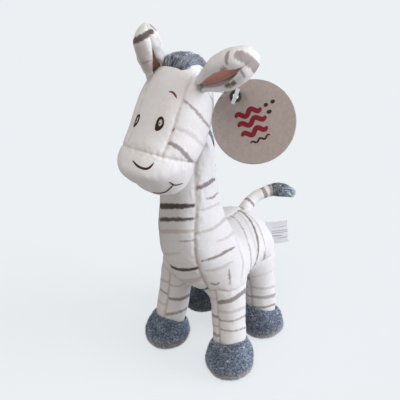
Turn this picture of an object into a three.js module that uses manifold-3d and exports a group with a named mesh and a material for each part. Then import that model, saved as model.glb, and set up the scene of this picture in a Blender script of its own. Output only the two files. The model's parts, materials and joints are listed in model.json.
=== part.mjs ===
// Standing plush zebra: short-pile skin panels over fibre filling, blue-grey hooves, mane and tail tuft,
// a round hang tag at the left ear and a small care label at the rump.
// Millimetres, +Z up, facing -Y, the zebra's left side at +X.

import * as THREE from "three";
import { mergeVertices } from "three/addons/utils/BufferGeometryUtils.js";
import Module from "manifold-3d";

const wasm = await Module();
wasm.setup();

// Fabric, seams and running clearance
const pile = 1.6; // thickness of a skin panel
const hoofPile = 2.2; // thickness of a hoof cover
const gap = 0.3; // width of every seam, and the clearance of every seat
const swingGap = 0.8; // clearance round a ball that turns, over its facets
const facets = { body: 16, head: 16, leg: 12, ear: 10, tail: 8, ball: 8, card: 16, eyelet: 8, stitch: 6 };
const filamentFacets = 3;
const smallest = 0.2; // radius that closes the end of a swelling form

// Torso and neck, as one swelling form from the rump to the top of the neck: y and z of the middle,
// half width, and depth from the middle to the belly or chest side and to the back side
const torso = {
  rumpEnd: { y: 55, z: 92, width: smallest, front: smallest, back: smallest },
  rumpCap: { y: 52.5, z: 92, width: 12.5, front: 10, back: 10 },
  rump: { y: 46.5, z: 91, width: 22.5, front: 17, back: 17 },
  hips: { y: 33.5, z: 91, width: 31.5, front: 22, back: 21 },
  loin: { y: 18, z: 91, width: 36, front: 23.5, back: 21.5 },
  waist: { y: 0.5, z: 92.5, width: 36.5, front: 26, back: 21 },
  shoulder: { y: -14.5, z: 95, width: 35, front: 30, back: 20 },
};
const neck = {
  chest: { y: -25.5, z: 111, width: 32.5, front: 29.5, back: 23 },
  base: { y: -33.5, z: 126, width: 27.5, front: 28.5, back: 26 },
  lower: { y: -38, z: 143, width: 24, front: 26, back: 25 },
  middle: { y: -40, z: 161, width: 20.5, front: 23.5, back: 23 },
  upper: { y: -42, z: 179, width: 19.5, front: 22.5, back: 22 },
};
const nod = { y: -43, z: 196, width: 19, radius: 22, down: 8, up: 10 }; // top of the neck, and the nod
const chestPanelWidth = 32;
const neckSplit = { y: -31, z: 108, tilt: 50 }; // where the neck's filling meets the torso's, in degrees

// Head, as level sections from the chin to the crown: height, middle, half width, and depths
const head = {
  chin: { z: 181, y: -77, width: smallest, front: smallest, back: smallest },
  jaw: { z: 182.5, y: -77, width: 12.5, front: 7.5, back: 10 },
  lip: { z: 187, y: -74.5, width: 18.5, front: 12.5, back: 15 },
  mouth: { z: 193, y: -74, width: 22, front: 19.5, back: 19.5 },
  nose: { z: 203, y: -74.5, width: 25, front: 29, back: 21.5 },
  cheek: { z: 212, y: -68, width: 26, front: 31, back: 27 },
  eyes: { z: 223, y: -60, width: 26, front: 27, back: 26.5 },
  brow: { z: 235, y: -55.5, width: 25.5, front: 23, back: 24.5 },
  temple: { z: 245, y: -52.5, width: 22.5, front: 19, back: 22 },
  poll: { z: 254, y: -50, width: 17, front: 15, back: 18 },
  crown: { z: 260, y: -49.5, width: 10.5, front: 9.5, back: 10 },
  top: { z: 262, y: -50, width: smallest, front: smallest, back: smallest },
};
const muzzleSeam = { y: -98, z: 219.5, slope: 0.5, back: -50 }; // the seam drops towards the neck
const faceGussetWidth = 29;
const backOfFace = -26;

// Legs: the hip ball turns in the torso, and the leg leans out to its hoof
const hip = { x: 22.5, z: 87, front: -21, rear: 27.5, width: 15, frontRadius: 17, rearRadius: 18.5 };
const foot = { frontX: 33, rearX: 32.5, frontY: -29.5, rearY: 29 };
const legRadius = { thigh: 14.7, knee: 14.3, ankle: 14.4 };
const legHeight = { thigh: 72, knee: 54, ankle: 34 };
const hoofHeight = 34;
const hoof = {
  toe: 1.5, // how far the hoof reaches forward of the leg
  sole: 15.5,
  bulge: 19.4,
  rim: 16.8,
  bulgeHeight: 15,
  corner: 2.5, // rounding of the lower and upper edges
};
const soleThickness = 2;
const legSwing = { outward: 15, inward: 5 }; // degrees, away from the other pair of legs and towards it
const legOpening = { below: 8, inward: 4 }; // the skin is open to the torso from here, measured from the hip
const tuckIn = 3; // how far the leg's skin reaches into the hoof

// Ears
const ear = { x: 19, y: -52, z: 251, ball: 5.4, thickness: 2.7, cup: 3, flop: 20, perk: 10 };
const earSize = {
  left: { length: 42.5, width: 12.6 },
  right: { length: 34, width: 9.6 }, // it curls more
};
const earRoot = { share: 0.12, depth: 0.9 }; // share of the length, and of the ball's radius
const earLeaf = {
  lower: { share: 0.26, width: 0.78, thickness: 1.4, cup: 0.4 },
  middle: { share: 0.45, width: 1, thickness: 1, cup: 1 },
  upper: { share: 0.68, width: 0.93, thickness: 0.9, cup: 1 },
  shoulder: { share: 0.86, width: 0.62, thickness: 0.7, cup: 0.5 },
  tip: { share: 0.96, width: 0.3, thickness: 0.5, cup: 0.15 },
};
const earLining = { thickness: 1.2, margin: 2.8 };
const earLiningLeaf = {
  lower: { share: 0.33, width: 0.78, thickness: 1.3, cup: 0.45 },
  middle: { share: 0.45, width: 1, thickness: 1.05, cup: 0.6 },
  upper: { share: 0.68, width: 0.93, thickness: 0.95, cup: 0.6 },
  shoulder: { share: 0.84, width: 0.66, thickness: 0.8, cup: 0.2 },
};
const earLiningEnds = { start: { share: 0.28, thickness: 1.45 }, end: { share: 0.9, thickness: 0.72 } };
const earDirection = { left: [0.85, 0.1, 0.55], right: [0.05, -0.2, 0.97] };
const earFront = { left: [0.35, -0.9, 0.2], right: [0.25, -0.97, -0.1] };
const ballTurns = [90, 58, 28, 0]; // degrees below the level of a ball's middle

// Mane
const mane = { width: 20, height: 7, foreheadY: -54, napeZ: 217 };
const neckManeSize = { width: 19, height: 6, endZ: 150, topZ: 211 };

// Tail and its tuft, along one curve
const tail = { radius: 4.8, ball: 5.4, tuftRadius: 6.2, lift: 20, drop: 15, length: 50 };
const tailShares = [0.15, 0.3, 0.45]; // sections along the tail
const tuft = {
  start: { share: 0.62, radius: 0.8 },
  swell: { share: 0.72, radius: 1 },
  belly: { share: 0.84, radius: 1 },
  narrow: { share: 0.94, radius: 0.75 },
};
const tailPath = [
  [0, 47, 108],
  [1.5, 54, 111.5],
  [5, 62, 114.5],
  [11, 70, 116.5],
  [16, 74.4, 117.2],
  [22, 79, 117],
  [28, 83, 115.4],
];

// Hang tag on its fastener: the card faces forward and to the left, and hangs from a hole near its rim
const tag = { radius: 26.5, thickness: 0.8, turn: 28, tilt: 22 };
const tagHole = { turn: 38, fromRim: 6.8, radius: 1.9 };
const tagSwing = 30;
const eyelet = { rim: 3.9, wall: 0.5, proud: 0.3 };
const fastener = { radius: 0.5, barRadius: 0.7, barLength: 9, inset: 3.4 };
const paddle = { length: 10, width: 2.4 };
const filamentReach = { out: 15.5, forward: 11, up: -3 }; // from the skin to the tag's hole
const filamentBend = { early: 0.45, late: 0.12, behind: 0.6 }; // shares of that reach
const filamentSteps = 10;
const anchor = { overBrow: 6, turn: 45 }; // place on the head, in degrees behind its widest point

// Care label at the rump's left side
const label = { height: 21, length: 19, thickness: 0.6, z: 91.5, turn: 33, tilt: 8, inset: 0.5, flap: 25 };

// Embroidery
const stitchHeight = 0.9;
const eye = { width: 4.9, height: 9.5, x: -1.7, spacing: 17.8, z: 230.3, lightRadius: 1, lightRise: 1.2 };
const noseLine = { radius: 8, x: 3.4, z: 217.3, spread: 50, thread: 1.3 }; // spread in degrees each side
const mouthLine = { radius: 20, x: 2.5, z: 206.8, spread: 60, thread: 1.2 };

const roughness = { fabric: 0.9, metal: 0.6, plastic: 0.4 };
const colours = {
  white: 0xe6e0dc,
  muzzle: 0xece6e2,
  blueGrey: 0x5c6570,
  sole: 0x4d5660,
  pink: 0xc8706a,
  filling: 0xf2f0ec,
  thread: 0x4a2616,
  lightThread: 0xf4f1ec,
  card: 0x9a8b84,
  ring: 0x2c211c,
  plastic: 0xf0f0ee,
  label: 0xf5f5f3,
};

// How finely the forms are divided
const ringsPerStation = 1;
const domeSteps = 3;
const neckSpaceRings = 5; // rings below the top of the neck that the head may meet
const paddleTurn = -19; // the paddle's lean in the tag's plane, in degrees

const far = 400; // beyond every piece
const sideways = new THREE.Vector3(1, 0, 0);
const backward = new THREE.Vector3(0, 1, 0);
const upward = new THREE.Vector3(0, 0, 1);
const vector = (list) => new THREE.Vector3(...list);

// A closed form through rings, each with a middle, two directions and its half sizes.
function loft(rings, sides, power = 1) {
  const positions = [];
  const shaped = (c) => Math.sign(c) * Math.abs(c) ** power;
  for (const ring of rings) {
    for (let i = 0; i < sides; i += 1) {
      const turn = (2 * Math.PI * i) / sides;
      const across = shaped(Math.cos(turn));
      const along = shaped(Math.sin(turn));
      const depth = along < 0 ? ring.front : ring.back;
      const point = ring.middle.clone();
      point.addScaledVector(ring.across, across * ring.width);
      point.addScaledVector(ring.along, along * depth - (ring.cup ?? 0) * across ** 2);
      positions.push(point.x, point.y, point.z);
    }
  }
  const faces = [];
  for (let r = 0; r + 1 < rings.length; r += 1) {
    for (let i = 0; i < sides; i += 1) {
      const a = r * sides + i;
      const b = r * sides + ((i + 1) % sides);
      faces.push(a, b, a + sides, b, b + sides, a + sides);
    }
  }
  const ends = [rings[0], rings.at(-1)].map((ring) => {
    positions.push(ring.middle.x, ring.middle.y, ring.middle.z);
    return positions.length / 3 - 1;
  });
  const lastRing = (rings.length - 1) * sides;
  for (let i = 0; i < sides; i += 1) {
    const next = (i + 1) % sides;
    faces.push(ends[0], next, i);
    faces.push(ends[1], lastRing + i, lastRing + next);
  }
  const geometry = new THREE.BufferGeometry();
  geometry.setAttribute("position", new THREE.Float32BufferAttribute(positions, 3));
  geometry.setIndex(faces);
  return geometry;
}

// The same form with its surface moved out along its normals, or in where the distance is negative.
function inflated(geometry, distance) {
  const grown = geometry.clone();
  grown.computeVertexNormals();
  const { position, normal } = grown.attributes;
  const outward = signedVolume(geometry) > 0 ? 1 : -1;
  for (let i = 0; i < position.count; i += 1) {
    const point = new THREE.Vector3().fromBufferAttribute(position, i);
    const direction = new THREE.Vector3().fromBufferAttribute(normal, i);
    point.addScaledVector(direction, outward * distance);
    position.setXYZ(i, point.x, point.y, point.z);
  }
  grown.deleteAttribute("normal");
  return grown;
}

function signedVolume(geometry) {
  const { position } = geometry.attributes;
  const corner = (k) => new THREE.Vector3().fromBufferAttribute(position, geometry.index.getX(k));
  let volume = 0;
  for (let k = 0; k < geometry.index.count; k += 3) {
    volume += corner(k).dot(corner(k + 1).cross(corner(k + 2))) / 6;
  }
  return volume;
}

// A geometry as a solid that can be cut and joined, always with its faces out.
function solidOf(geometry) {
  const bare = geometry.clone();
  bare.deleteAttribute("normal");
  bare.deleteAttribute("uv");
  const merged = mergeVertices(bare, 1e-4);
  const triVerts = new Uint32Array(merged.index.array);
  if (signedVolume(merged) < 0) {
    triVerts.reverse();
  }
  const vertProperties = merged.attributes.position.array;
  return new wasm.Manifold(new wasm.Mesh({ numProp: 3, vertProperties, triVerts }));
}

function meshOf(name, solid, colour, rough = roughness.fabric) {
  const { numProp, vertProperties, triVerts } = solid.getMesh();
  const positions = [];
  for (let i = 0; i < vertProperties.length; i += numProp) {
    positions.push(vertProperties[i], vertProperties[i + 1], vertProperties[i + 2]);
  }
  const geometry = new THREE.BufferGeometry();
  geometry.setAttribute("position", new THREE.Float32BufferAttribute(positions, 3));
  geometry.setIndex([...triVerts]);
  geometry.computeVertexNormals();
  const material = new THREE.MeshStandardMaterial({ color: colour, roughness: rough, metalness: 0 });
  const mesh = new THREE.Mesh(geometry, material);
  mesh.name = name;
  return mesh;
}

// A geometry turned about an axis through a point.
function turned(geometry, pivot, axis, degrees) {
  const move = new THREE.Matrix4().makeTranslation(pivot.x, pivot.y, pivot.z);
  move.multiply(new THREE.Matrix4().makeRotationAxis(axis, THREE.MathUtils.degToRad(degrees)));
  move.multiply(new THREE.Matrix4().makeTranslation(-pivot.x, -pivot.y, -pivot.z));
  return geometry.clone().applyMatrix4(move);
}

// The rings of the space that a form sweeps as it turns both ways about the x axis through a height:
// each ring below the pivot grows by its distance times the turn, and every ring by the clearance.
function sweptRings(rings, pivotZ, frontDegrees, backDegrees) {
  const reach = (ring, degrees) => {
    const drop = Math.max(pivotZ - ring.middle.z, 0);
    return drop * Math.tan(THREE.MathUtils.degToRad(degrees));
  };
  return rings.map((ring) => ({
    ...ring,
    width: ring.width + swingGap,
    front: ring.front + swingGap + reach(ring, frontDegrees),
    back: ring.back + swingGap + reach(ring, backDegrees),
  }));
}

// The largest body of a solid that a cut may leave with crumbs.
function largestOf(solid) {
  return solid.decompose().reduce((a, b) => (b.volume() > a.volume() ? b : a));
}

function halfSpace(sign) {
  const near = (sign * gap) / 2;
  const beyond = sign * far;
  const low = new THREE.Vector3(Math.min(near, beyond), -far, -far);
  return block(low, new THREE.Vector3(Math.max(near, beyond), far, far));
}

// A prism of an outline in the YZ plane, between two values of x, grown on every side.
function prism(outline, xLow, xHigh, grow = 0) {
  const corners = outline.map(([y, z]) => new THREE.Vector2(y, z));
  const area = THREE.ShapeUtils.area(corners);
  if (area < 0) {
    corners.reverse();
  }
  const moved = corners.map((corner, i) => {
    const before = corners.at(i - 1);
    const after = corners[(i + 1) % corners.length];
    const inward = corner.clone().sub(before).normalize();
    const outward = after.clone().sub(corner).normalize();
    const normalIn = new THREE.Vector2(inward.y, -inward.x);
    const normalOut = new THREE.Vector2(outward.y, -outward.x);
    const mitre = normalIn.clone().add(normalOut);
    return corner.clone().addScaledVector(mitre, grow / (1 + normalIn.dot(normalOut)));
  });
  const length = xHigh - xLow + 2 * grow;
  const geometry = new THREE.ExtrudeGeometry(new THREE.Shape(moved), { depth: length, bevelEnabled: false });
  // The shape's x and y become Y and Z, and its depth runs along X.
  const basis = new THREE.Matrix4().makeBasis(
    new THREE.Vector3(0, 1, 0),
    new THREE.Vector3(0, 0, 1),
    new THREE.Vector3(1, 0, 0),
  );
  geometry.applyMatrix4(basis);
  geometry.translate(xLow - grow, 0, 0);
  return solidOf(geometry);
}

function block(low, high) {
  const size = high.clone().sub(low);
  const geometry = new THREE.BoxGeometry(size.x, size.y, size.z);
  geometry.translate((low.x + high.x) / 2, (low.y + high.y) / 2, (low.z + high.z) / 2);
  return solidOf(geometry);
}

function above(z) {
  return block(new THREE.Vector3(-far, -far, z), new THREE.Vector3(far, far, far));
}

function below(z) {
  return block(new THREE.Vector3(-far, -far, -far), new THREE.Vector3(far, far, z));
}

// Rings that close a form with a dome, round about the x axis.
function domeRings(base, width, radius, count) {
  const up = new THREE.Vector3().crossVectors(base.across, base.along);
  const ringAt = (turn) => ({
    ...base,
    middle: base.middle.clone().addScaledVector(up, radius * Math.sin(turn)),
    width: Math.max(width * Math.cos(turn), smallest),
    front: Math.max(radius * Math.cos(turn), smallest),
    back: Math.max(radius * Math.cos(turn), smallest),
  });
  return Array.from({ length: count }, (_, i) => ringAt(((Math.PI / 2) * (i + 1)) / count));
}

// Torso and neck
function bodyRings() {
  const top = { y: nod.y, z: nod.z, width: nod.width, front: nod.radius, back: nod.radius };
  const stations = [...Object.values(torso), ...Object.values(neck), top];
  const curve = new THREE.CatmullRomCurve3(stations.map((s) => new THREE.Vector3(0, s.y, s.z)));
  const sizes = new THREE.CatmullRomCurve3(stations.map((s) => new THREE.Vector3(s.width, s.front, s.back)));
  const count = (stations.length - 1) * ringsPerStation;
  return Array.from({ length: count + 1 }, (_, i) => {
    const share = i / count;
    const tangent = i === count ? upward : curve.getTangent(share);
    const size = sizes.getPoint(share);
    return {
      middle: curve.getPoint(share),
      across: sideways,
      along: new THREE.Vector3(0, tangent.z, -tangent.y), // from the belly to the back, square to the spine
      width: Math.max(size.x, smallest),
      front: Math.max(size.y, smallest),
      back: Math.max(size.z, smallest),
    };
  });
}

function bodyForm() {
  const rings = bodyRings();
  return loft([...rings, ...domeRings(rings.at(-1), nod.width, nod.radius, domeSteps)], facets.body);
}

// The space that the head leaves for the top of the neck.
function neckSpace() {
  const rings = bodyRings().slice(-neckSpaceRings);
  const space = sweptRings(rings, nod.z, nod.down, nod.up);
  const dome = domeRings(space.at(-1), nod.width + swingGap, nod.radius + swingGap, domeSteps);
  return solidOf(loft([...space, ...dome], facets.body));
}

// The chest and belly panel lies in front of and below the spine.
function chestOutline() {
  const spine = bodyRings().map((ring) => [ring.middle.y, ring.middle.z]);
  const low = spine[0];
  const high = spine.at(-1);
  const start = low[0] + pile;
  return [[start, -far], [start, low[1]], ...spine.slice(1), [high[0], far], [-far, far], [-far, -far]];
}

function bodyPieces() {
  const form = bodyForm();
  let skin = solidOf(form).subtract(solidOf(inflated(form, -pile))).subtract(above(nod.z));
  let filling = solidOf(inflated(form, -pile - gap));
  const spaces = [tailSpace(), ...legNames.map(([end, side]) => legSpace(end, side))];
  for (const space of spaces) {
    skin = skin.subtract(space);
    filling = filling.subtract(space);
  }
  const half = chestPanelWidth / 2;
  const outline = chestOutline();
  const sides = skin.subtract(prism(outline, -half, half, gap));
  const slope = Math.tan(THREE.MathUtils.degToRad(neckSplit.tilt));
  const seamZ = (y, drop) => neckSplit.z - drop + slope * (y - neckSplit.y);
  const neckSide = (drop) => {
    const [front, behind] = [-far, far].map((y) => [y, seamZ(y, drop)]);
    return [front, behind, [far, 2 * far], [-far, 2 * far]];
  };
  return [
    meshOf("chest_and_belly_panel", largestOf(skin.intersect(prism(outline, -half, half))), colours.white),
    meshOf("left_body_panel", largestOf(sides.intersect(halfSpace(1))), colours.white),
    meshOf("right_body_panel", largestOf(sides.intersect(halfSpace(-1))), colours.white),
    meshOf("neck_filling", filling.intersect(prism(neckSide(0), -far, far)), colours.filling),
    meshOf("torso_filling", filling.subtract(prism(neckSide(gap), -far, far)), colours.filling),
    meshOf("neck_mane", neckMane(form), colours.blueGrey),
  ];
}

function neckMane(form) {
  const half = neckManeSize.width / 2;
  const low = new THREE.Vector3(-half, nod.y, neckManeSize.endZ);
  const strip = block(low, new THREE.Vector3(half, far, neckManeSize.topZ));
  return solidOf(inflated(form, neckManeSize.height)).subtract(solidOf(inflated(form, gap))).intersect(strip);
}

// Head
function headRings() {
  return Object.values(head).map(({ z, y, width, front, back }) => {
    return { middle: new THREE.Vector3(0, y, z), across: sideways, along: backward, width, front, back };
  });
}

// A point on the head's side, at a height and at an angle from the widest point towards the back.
function headPoint(height, degrees) {
  const rings = headRings();
  const upper = rings.findIndex((ring) => ring.middle.z > height);
  const [a, b] = [rings[upper - 1], rings[upper]];
  const share = (height - a.middle.z) / (b.middle.z - a.middle.z);
  const mix = (p, q) => p + (q - p) * share;
  const turn = THREE.MathUtils.degToRad(degrees);
  const x = mix(a.width, b.width) * Math.cos(turn);
  const y = mix(a.middle.y, b.middle.y) + mix(a.back, b.back) * Math.sin(turn);
  return new THREE.Vector3(x, y, height);
}

// The muzzle is below a plane that drops from the bridge of the nose towards the neck.
function muzzleOutline() {
  const seamZ = (y) => muzzleSeam.z - muzzleSeam.slope * (y - muzzleSeam.y);
  return [[-far, seamZ(-far)], [muzzleSeam.back, seamZ(muzzleSeam.back)], [muzzleSeam.back, 0], [-far, 0]];
}

function headPieces() {
  const form = loft(headRings(), facets.head);
  let skin = solidOf(form).subtract(solidOf(inflated(form, -pile)));
  let filling = solidOf(inflated(form, -pile - gap));
  let crest = headMane(form);
  const spaces = [neckSpace(), earSpace("left"), earSpace("right"), fastenerSpace()];
  for (const space of spaces) {
    skin = skin.subtract(space);
    filling = filling.subtract(space);
    crest = crest.subtract(space);
  }
  const muzzle = muzzleOutline();
  const half = faceGussetWidth / 2;
  const face = [[-far, -far], [backOfFace, -far], [backOfFace, far], [-far, far]];
  const upper = skin.subtract(prism(muzzle, -far, far, gap));
  const cheeks = upper.subtract(prism(face, -half, half, gap));
  return [
    meshOf("muzzle_panel", largestOf(skin.intersect(prism(muzzle, -far, far))), colours.muzzle),
    meshOf("face_gusset", largestOf(upper.intersect(prism(face, -half, half))), colours.white),
    meshOf("left_cheek_panel", largestOf(cheeks.intersect(halfSpace(1))), colours.white),
    meshOf("right_cheek_panel", largestOf(cheeks.intersect(halfSpace(-1))), colours.white),
    meshOf("head_filling", largestOf(filling), colours.filling),
    meshOf("head_mane", largestOf(crest), colours.blueGrey),
    ...embroidery(form),
  ];
}

function headMane(form) {
  const half = mane.width / 2;
  const region = [
    [mane.foreheadY, far],
    [mane.foreheadY, mane.napeZ],
    [far, mane.napeZ],
    [far, far],
  ];
  const shell = solidOf(inflated(form, mane.height)).subtract(solidOf(inflated(form, gap)));
  return shell.intersect(prism(region, -half, half));
}

// Raised stitches over the face: a thin layer over the skin, cut to each outline seen from the front
function embroidery(form) {
  const layer = solidOf(inflated(form, gap + stitchHeight)).subtract(solidOf(inflated(form, gap)));
  const stitched = (shape) => {
    const options = { depth: far, bevelEnabled: false, curveSegments: facets.stitch };
    const geometry = new THREE.ExtrudeGeometry(shape, options);
    // The shape's x and y become X and Z, and its depth runs backward to the middle of the head.
    geometry.applyMatrix4(new THREE.Matrix4().makeRotationX(Math.PI / 2));
    geometry.translate(0, head.eyes.y, 0);
    return layer.intersect(solidOf(geometry));
  };
  const oval = (x, z, width, height) => {
    return new THREE.Shape().absellipse(x, z, width / 2, height / 2, 0, 2 * Math.PI);
  };
  const arc = (line) => {
    const middle = -Math.PI / 2;
    const spread = THREE.MathUtils.degToRad(line.spread);
    const shape = new THREE.Shape();
    shape.absarc(line.x, line.z, line.radius + line.thread / 2, middle - spread, middle + spread, false);
    shape.absarc(line.x, line.z, line.radius - line.thread / 2, middle + spread, middle - spread, true);
    return shape;
  };
  const eyes = Object.entries(sideSigns).flatMap(([name, sign]) => {
    const x = eye.x + (sign * eye.spacing) / 2;
    const z = eye.z + eye.lightRise;
    const spot = oval(x, z, 2 * eye.lightRadius, 2 * eye.lightRadius);
    const room = oval(x, z, 2 * (eye.lightRadius + gap), 2 * (eye.lightRadius + gap));
    const pupil = stitched(oval(x, eye.z, eye.width, eye.height)).subtract(stitched(room));
    return [
      meshOf(name + "_eye", largestOf(pupil), colours.thread),
      meshOf(name + "_eye_light", stitched(spot), colours.lightThread),
    ];
  });
  return [
    ...eyes,
    meshOf("nose_stitching", largestOf(stitched(arc(noseLine))), colours.thread),
    meshOf("mouth_stitching", largestOf(stitched(arc(mouthLine))), colours.thread),
  ];
}

// Legs
const sideSigns = { left: 1, right: -1 };
const legNames = ["front", "rear"].flatMap((end) => Object.keys(sideSigns).map((side) => [end, side]));

function hipMiddle(end, side) {
  return new THREE.Vector3(sideSigns[side] * hip.x, hip[end], hip.z);
}

function footMiddle(end, side) {
  return new THREE.Vector3(sideSigns[side] * foot[end + "X"], foot[end + "Y"], 0);
}

function legSection(end, side, height, width, depth) {
  const middle = footMiddle(end, side).lerp(hipMiddle(end, side), height / hip.z);
  return { middle, across: sideways, along: backward, width, front: depth, back: depth };
}

function legRings(end, side, low) {
  const radius = hip[end + "Radius"];
  return [
    legSection(end, side, low, legRadius.ankle, legRadius.ankle),
    legSection(end, side, legHeight.ankle, legRadius.ankle, legRadius.ankle),
    legSection(end, side, legHeight.knee, legRadius.knee, legRadius.knee),
    legSection(end, side, legHeight.thigh, legRadius.thigh, (legRadius.thigh + radius) / 2),
    legSection(end, side, hip.z, hip.width, radius),
  ];
}

function legForm(end, side, low) {
  const rings = legRings(end, side, low);
  return loft([...rings, ...domeRings(rings.at(-1), hip.width, hip[end + "Radius"], domeSteps)], facets.leg);
}

// The space that the torso leaves for a leg that swings about its hip.
function legSpace(end, side) {
  const { outward, inward } = legSwing;
  const [forward, rearward] = end === "front" ? [outward, inward] : [inward, outward];
  const rings = sweptRings(legRings(end, side, hoofHeight).slice(1), hip.z, forward, rearward);
  const dome = domeRings(rings.at(-1), hip.width + swingGap, hip[end + "Radius"] + swingGap, domeSteps);
  return solidOf(loft([...rings, ...dome], facets.leg));
}

// A hoof, or the room inside it where it is set in by a distance.
function hoofForm(end, side, inset = 0) {
  const at = (height, radius, toe) => {
    const section = legSection(end, side, height, radius - inset, radius - inset);
    return { ...section, front: radius - inset + toe };
  };
  const { corner, toe } = hoof;
  const shoulderHeight = (hoof.bulgeHeight + hoofHeight) / 2;
  return loft(
    [
      at(0, hoof.sole, toe),
      at(corner, hoof.bulge - corner / 2, toe),
      at(hoof.bulgeHeight, hoof.bulge, toe),
      at(shoulderHeight, (hoof.bulge + hoof.rim) / 2, toe / 2),
      at(hoofHeight - corner - inset, hoof.rim, 0),
      at(hoofHeight - inset, hoof.rim - corner / 2, 0),
    ],
    facets.leg,
  );
}

// The part of a leg's skin that is open: towards the middle of the torso, and above the seam.
function openSide(side) {
  const sign = sideSigns[side];
  const edge = sign * (hip.x - legOpening.inward);
  const xLow = Math.min(edge, -sign * far);
  const xHigh = Math.max(edge, -sign * far);
  const bottom = hip.z - legOpening.below;
  return block(new THREE.Vector3(xLow, -far, bottom), new THREE.Vector3(xHigh, far, far));
}

function legPieces(end, side) {
  const name = `${end}_${side}_`;
  const skinLow = hoofHeight - tuckIn;
  const leg = legForm(end, side, skinLow - tuckIn);
  const hoofBody = hoofForm(end, side);
  const skin = solidOf(leg)
    .subtract(solidOf(inflated(leg, -pile)))
    .subtract(below(skinLow))
    .subtract(openSide(side));
  const cover = solidOf(hoofBody)
    .subtract(solidOf(hoofForm(end, side, hoofPile)))
    .subtract(below(soleThickness + gap))
    .subtract(solidOf(inflated(leg, gap)));
  const sole = solidOf(hoofBody).subtract(above(soleThickness));
  const hoofFilling = solidOf(hoofForm(end, side, hoofPile + gap))
    .subtract(below(soleThickness + gap))
    .subtract(above(skinLow - gap));
  const filling = solidOf(inflated(leg, -pile - gap)).add(hoofFilling);
  return [
    meshOf(name + "leg_skin", skin, colours.white),
    meshOf(name + "leg_filling", filling, colours.filling),
    meshOf(name + "hoof_cover", cover, colours.blueGrey),
    meshOf(name + "hoof_sole", sole, colours.sole),
  ];
}

// Ears: each grows from a ball seated in the head, with a cupped leaf and a lining on its front
function earPlacement(side) {
  const length = vector(earDirection[side]).normalize();
  const back = vector(earFront[side]).negate();
  const across = new THREE.Vector3().crossVectors(back, length).normalize();
  const depth = new THREE.Vector3().crossVectors(length, across);
  const place = new THREE.Matrix4().makeBasis(across, depth, length);
  return place.setPosition(earPivot(side));
}

function earPivot(side) {
  return new THREE.Vector3(sideSigns[side] * ear.x, ear.y, ear.z);
}

function upright(height, width, thickness, cup = 0, shift = 0) {
  const middle = new THREE.Vector3(0, shift, height);
  return { middle, across: sideways, along: backward, width, front: thickness, back: thickness, cup };
}

// The lower rings of a form that starts in a ball about the origin.
function ballRings(radius) {
  return ballTurns.map((degrees) => {
    const turn = THREE.MathUtils.degToRad(degrees);
    const size = Math.max(radius * Math.cos(turn), smallest);
    return upright(-radius * Math.sin(turn), size, size);
  });
}

function earForm(side) {
  const { length, width } = earSize[side];
  const leaf = Object.values(earLeaf).map((station) => {
    const half = station.width * width;
    return upright(station.share * length, half, station.thickness * ear.thickness, station.cup * ear.cup);
  });
  const root = upright(earRoot.share * length, ear.ball, ear.ball * earRoot.depth);
  const tip = upright(length, smallest, smallest);
  return loft([...ballRings(ear.ball), root, ...leaf, tip], facets.ear);
}

function liningForm(side) {
  const { length, width } = earSize[side];
  const half = earLining.thickness / 2;
  const ringAt = (station, halfWidth, halfThickness, cup) => {
    const shift = -(station.thickness * ear.thickness + gap + half);
    return upright(station.share * length, halfWidth, halfThickness, cup, shift);
  };
  const leaf = Object.values(earLiningLeaf).map((station) => {
    return ringAt(station, station.width * width - earLining.margin, half, station.cup * ear.cup);
  });
  const [start, end] = [earLiningEnds.start, earLiningEnds.end].map((station) => {
    return ringAt(station, smallest, smallest, 0);
  });
  return loft([start, ...leaf, end], facets.ear);
}

function earSpace(side) {
  const place = earPlacement(side);
  const axis = earAxis(side);
  const ball = new THREE.SphereGeometry(ear.ball + swingGap, facets.ball, facets.ball).applyMatrix4(place);
  const form = inflated(earForm(side), gap).applyMatrix4(place);
  const turns = [-ear.perk, -ear.perk / 2, 0, ear.flop / 4, ear.flop / 2, ear.flop];
  return turns.reduce((space, degrees) => {
    return space.add(solidOf(turned(form, earPivot(side), axis, degrees)));
  }, solidOf(ball));
}

// The ear flops about an axis across its length and level.
function earAxis(side) {
  const length = vector(earDirection[side]).normalize();
  return new THREE.Vector3().crossVectors(upward, length).normalize();
}

function earPieces(side) {
  const place = earPlacement(side);
  return [
    meshOf(side + "_ear", solidOf(earForm(side).applyMatrix4(place)), colours.white),
    meshOf(side + "_ear_lining", solidOf(liningForm(side).applyMatrix4(place)), colours.pink),
  ];
}

// Tail
function tailRing(share, radius) {
  const curve = new THREE.CatmullRomCurve3(tailPath.map(vector));
  const tangent = curve.getTangent(share);
  const across = new THREE.Vector3().crossVectors(tangent, upward).normalize();
  const along = new THREE.Vector3().crossVectors(tangent, across);
  return { middle: curve.getPoint(share), across, along, width: radius, front: radius, back: radius };
}

function tailForm() {
  const root = tailRing(0, tail.ball);
  const inward = new THREE.Vector3().crossVectors(root.across, root.along);
  const ball = ballTurns.slice(0, -1).map((degrees) => {
    const turn = THREE.MathUtils.degToRad(degrees);
    const size = Math.max(tail.ball * Math.cos(turn), smallest);
    const middle = root.middle.clone().addScaledVector(inward, tail.ball * Math.sin(turn));
    return { ...root, middle, width: size, front: size, back: size };
  });
  const sections = [...tailShares, tuft.start.share].map((share) => tailRing(share, tail.radius));
  return loft([...ball, root, ...sections], facets.tail);
}

function tuftForm() {
  const seam = gap / tail.length;
  const rings = Object.values(tuft).map(({ share, radius }) => {
    return tailRing(share + seam, radius * tail.tuftRadius);
  });
  return loft([...rings, tailRing(1, smallest)], facets.tail);
}

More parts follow.
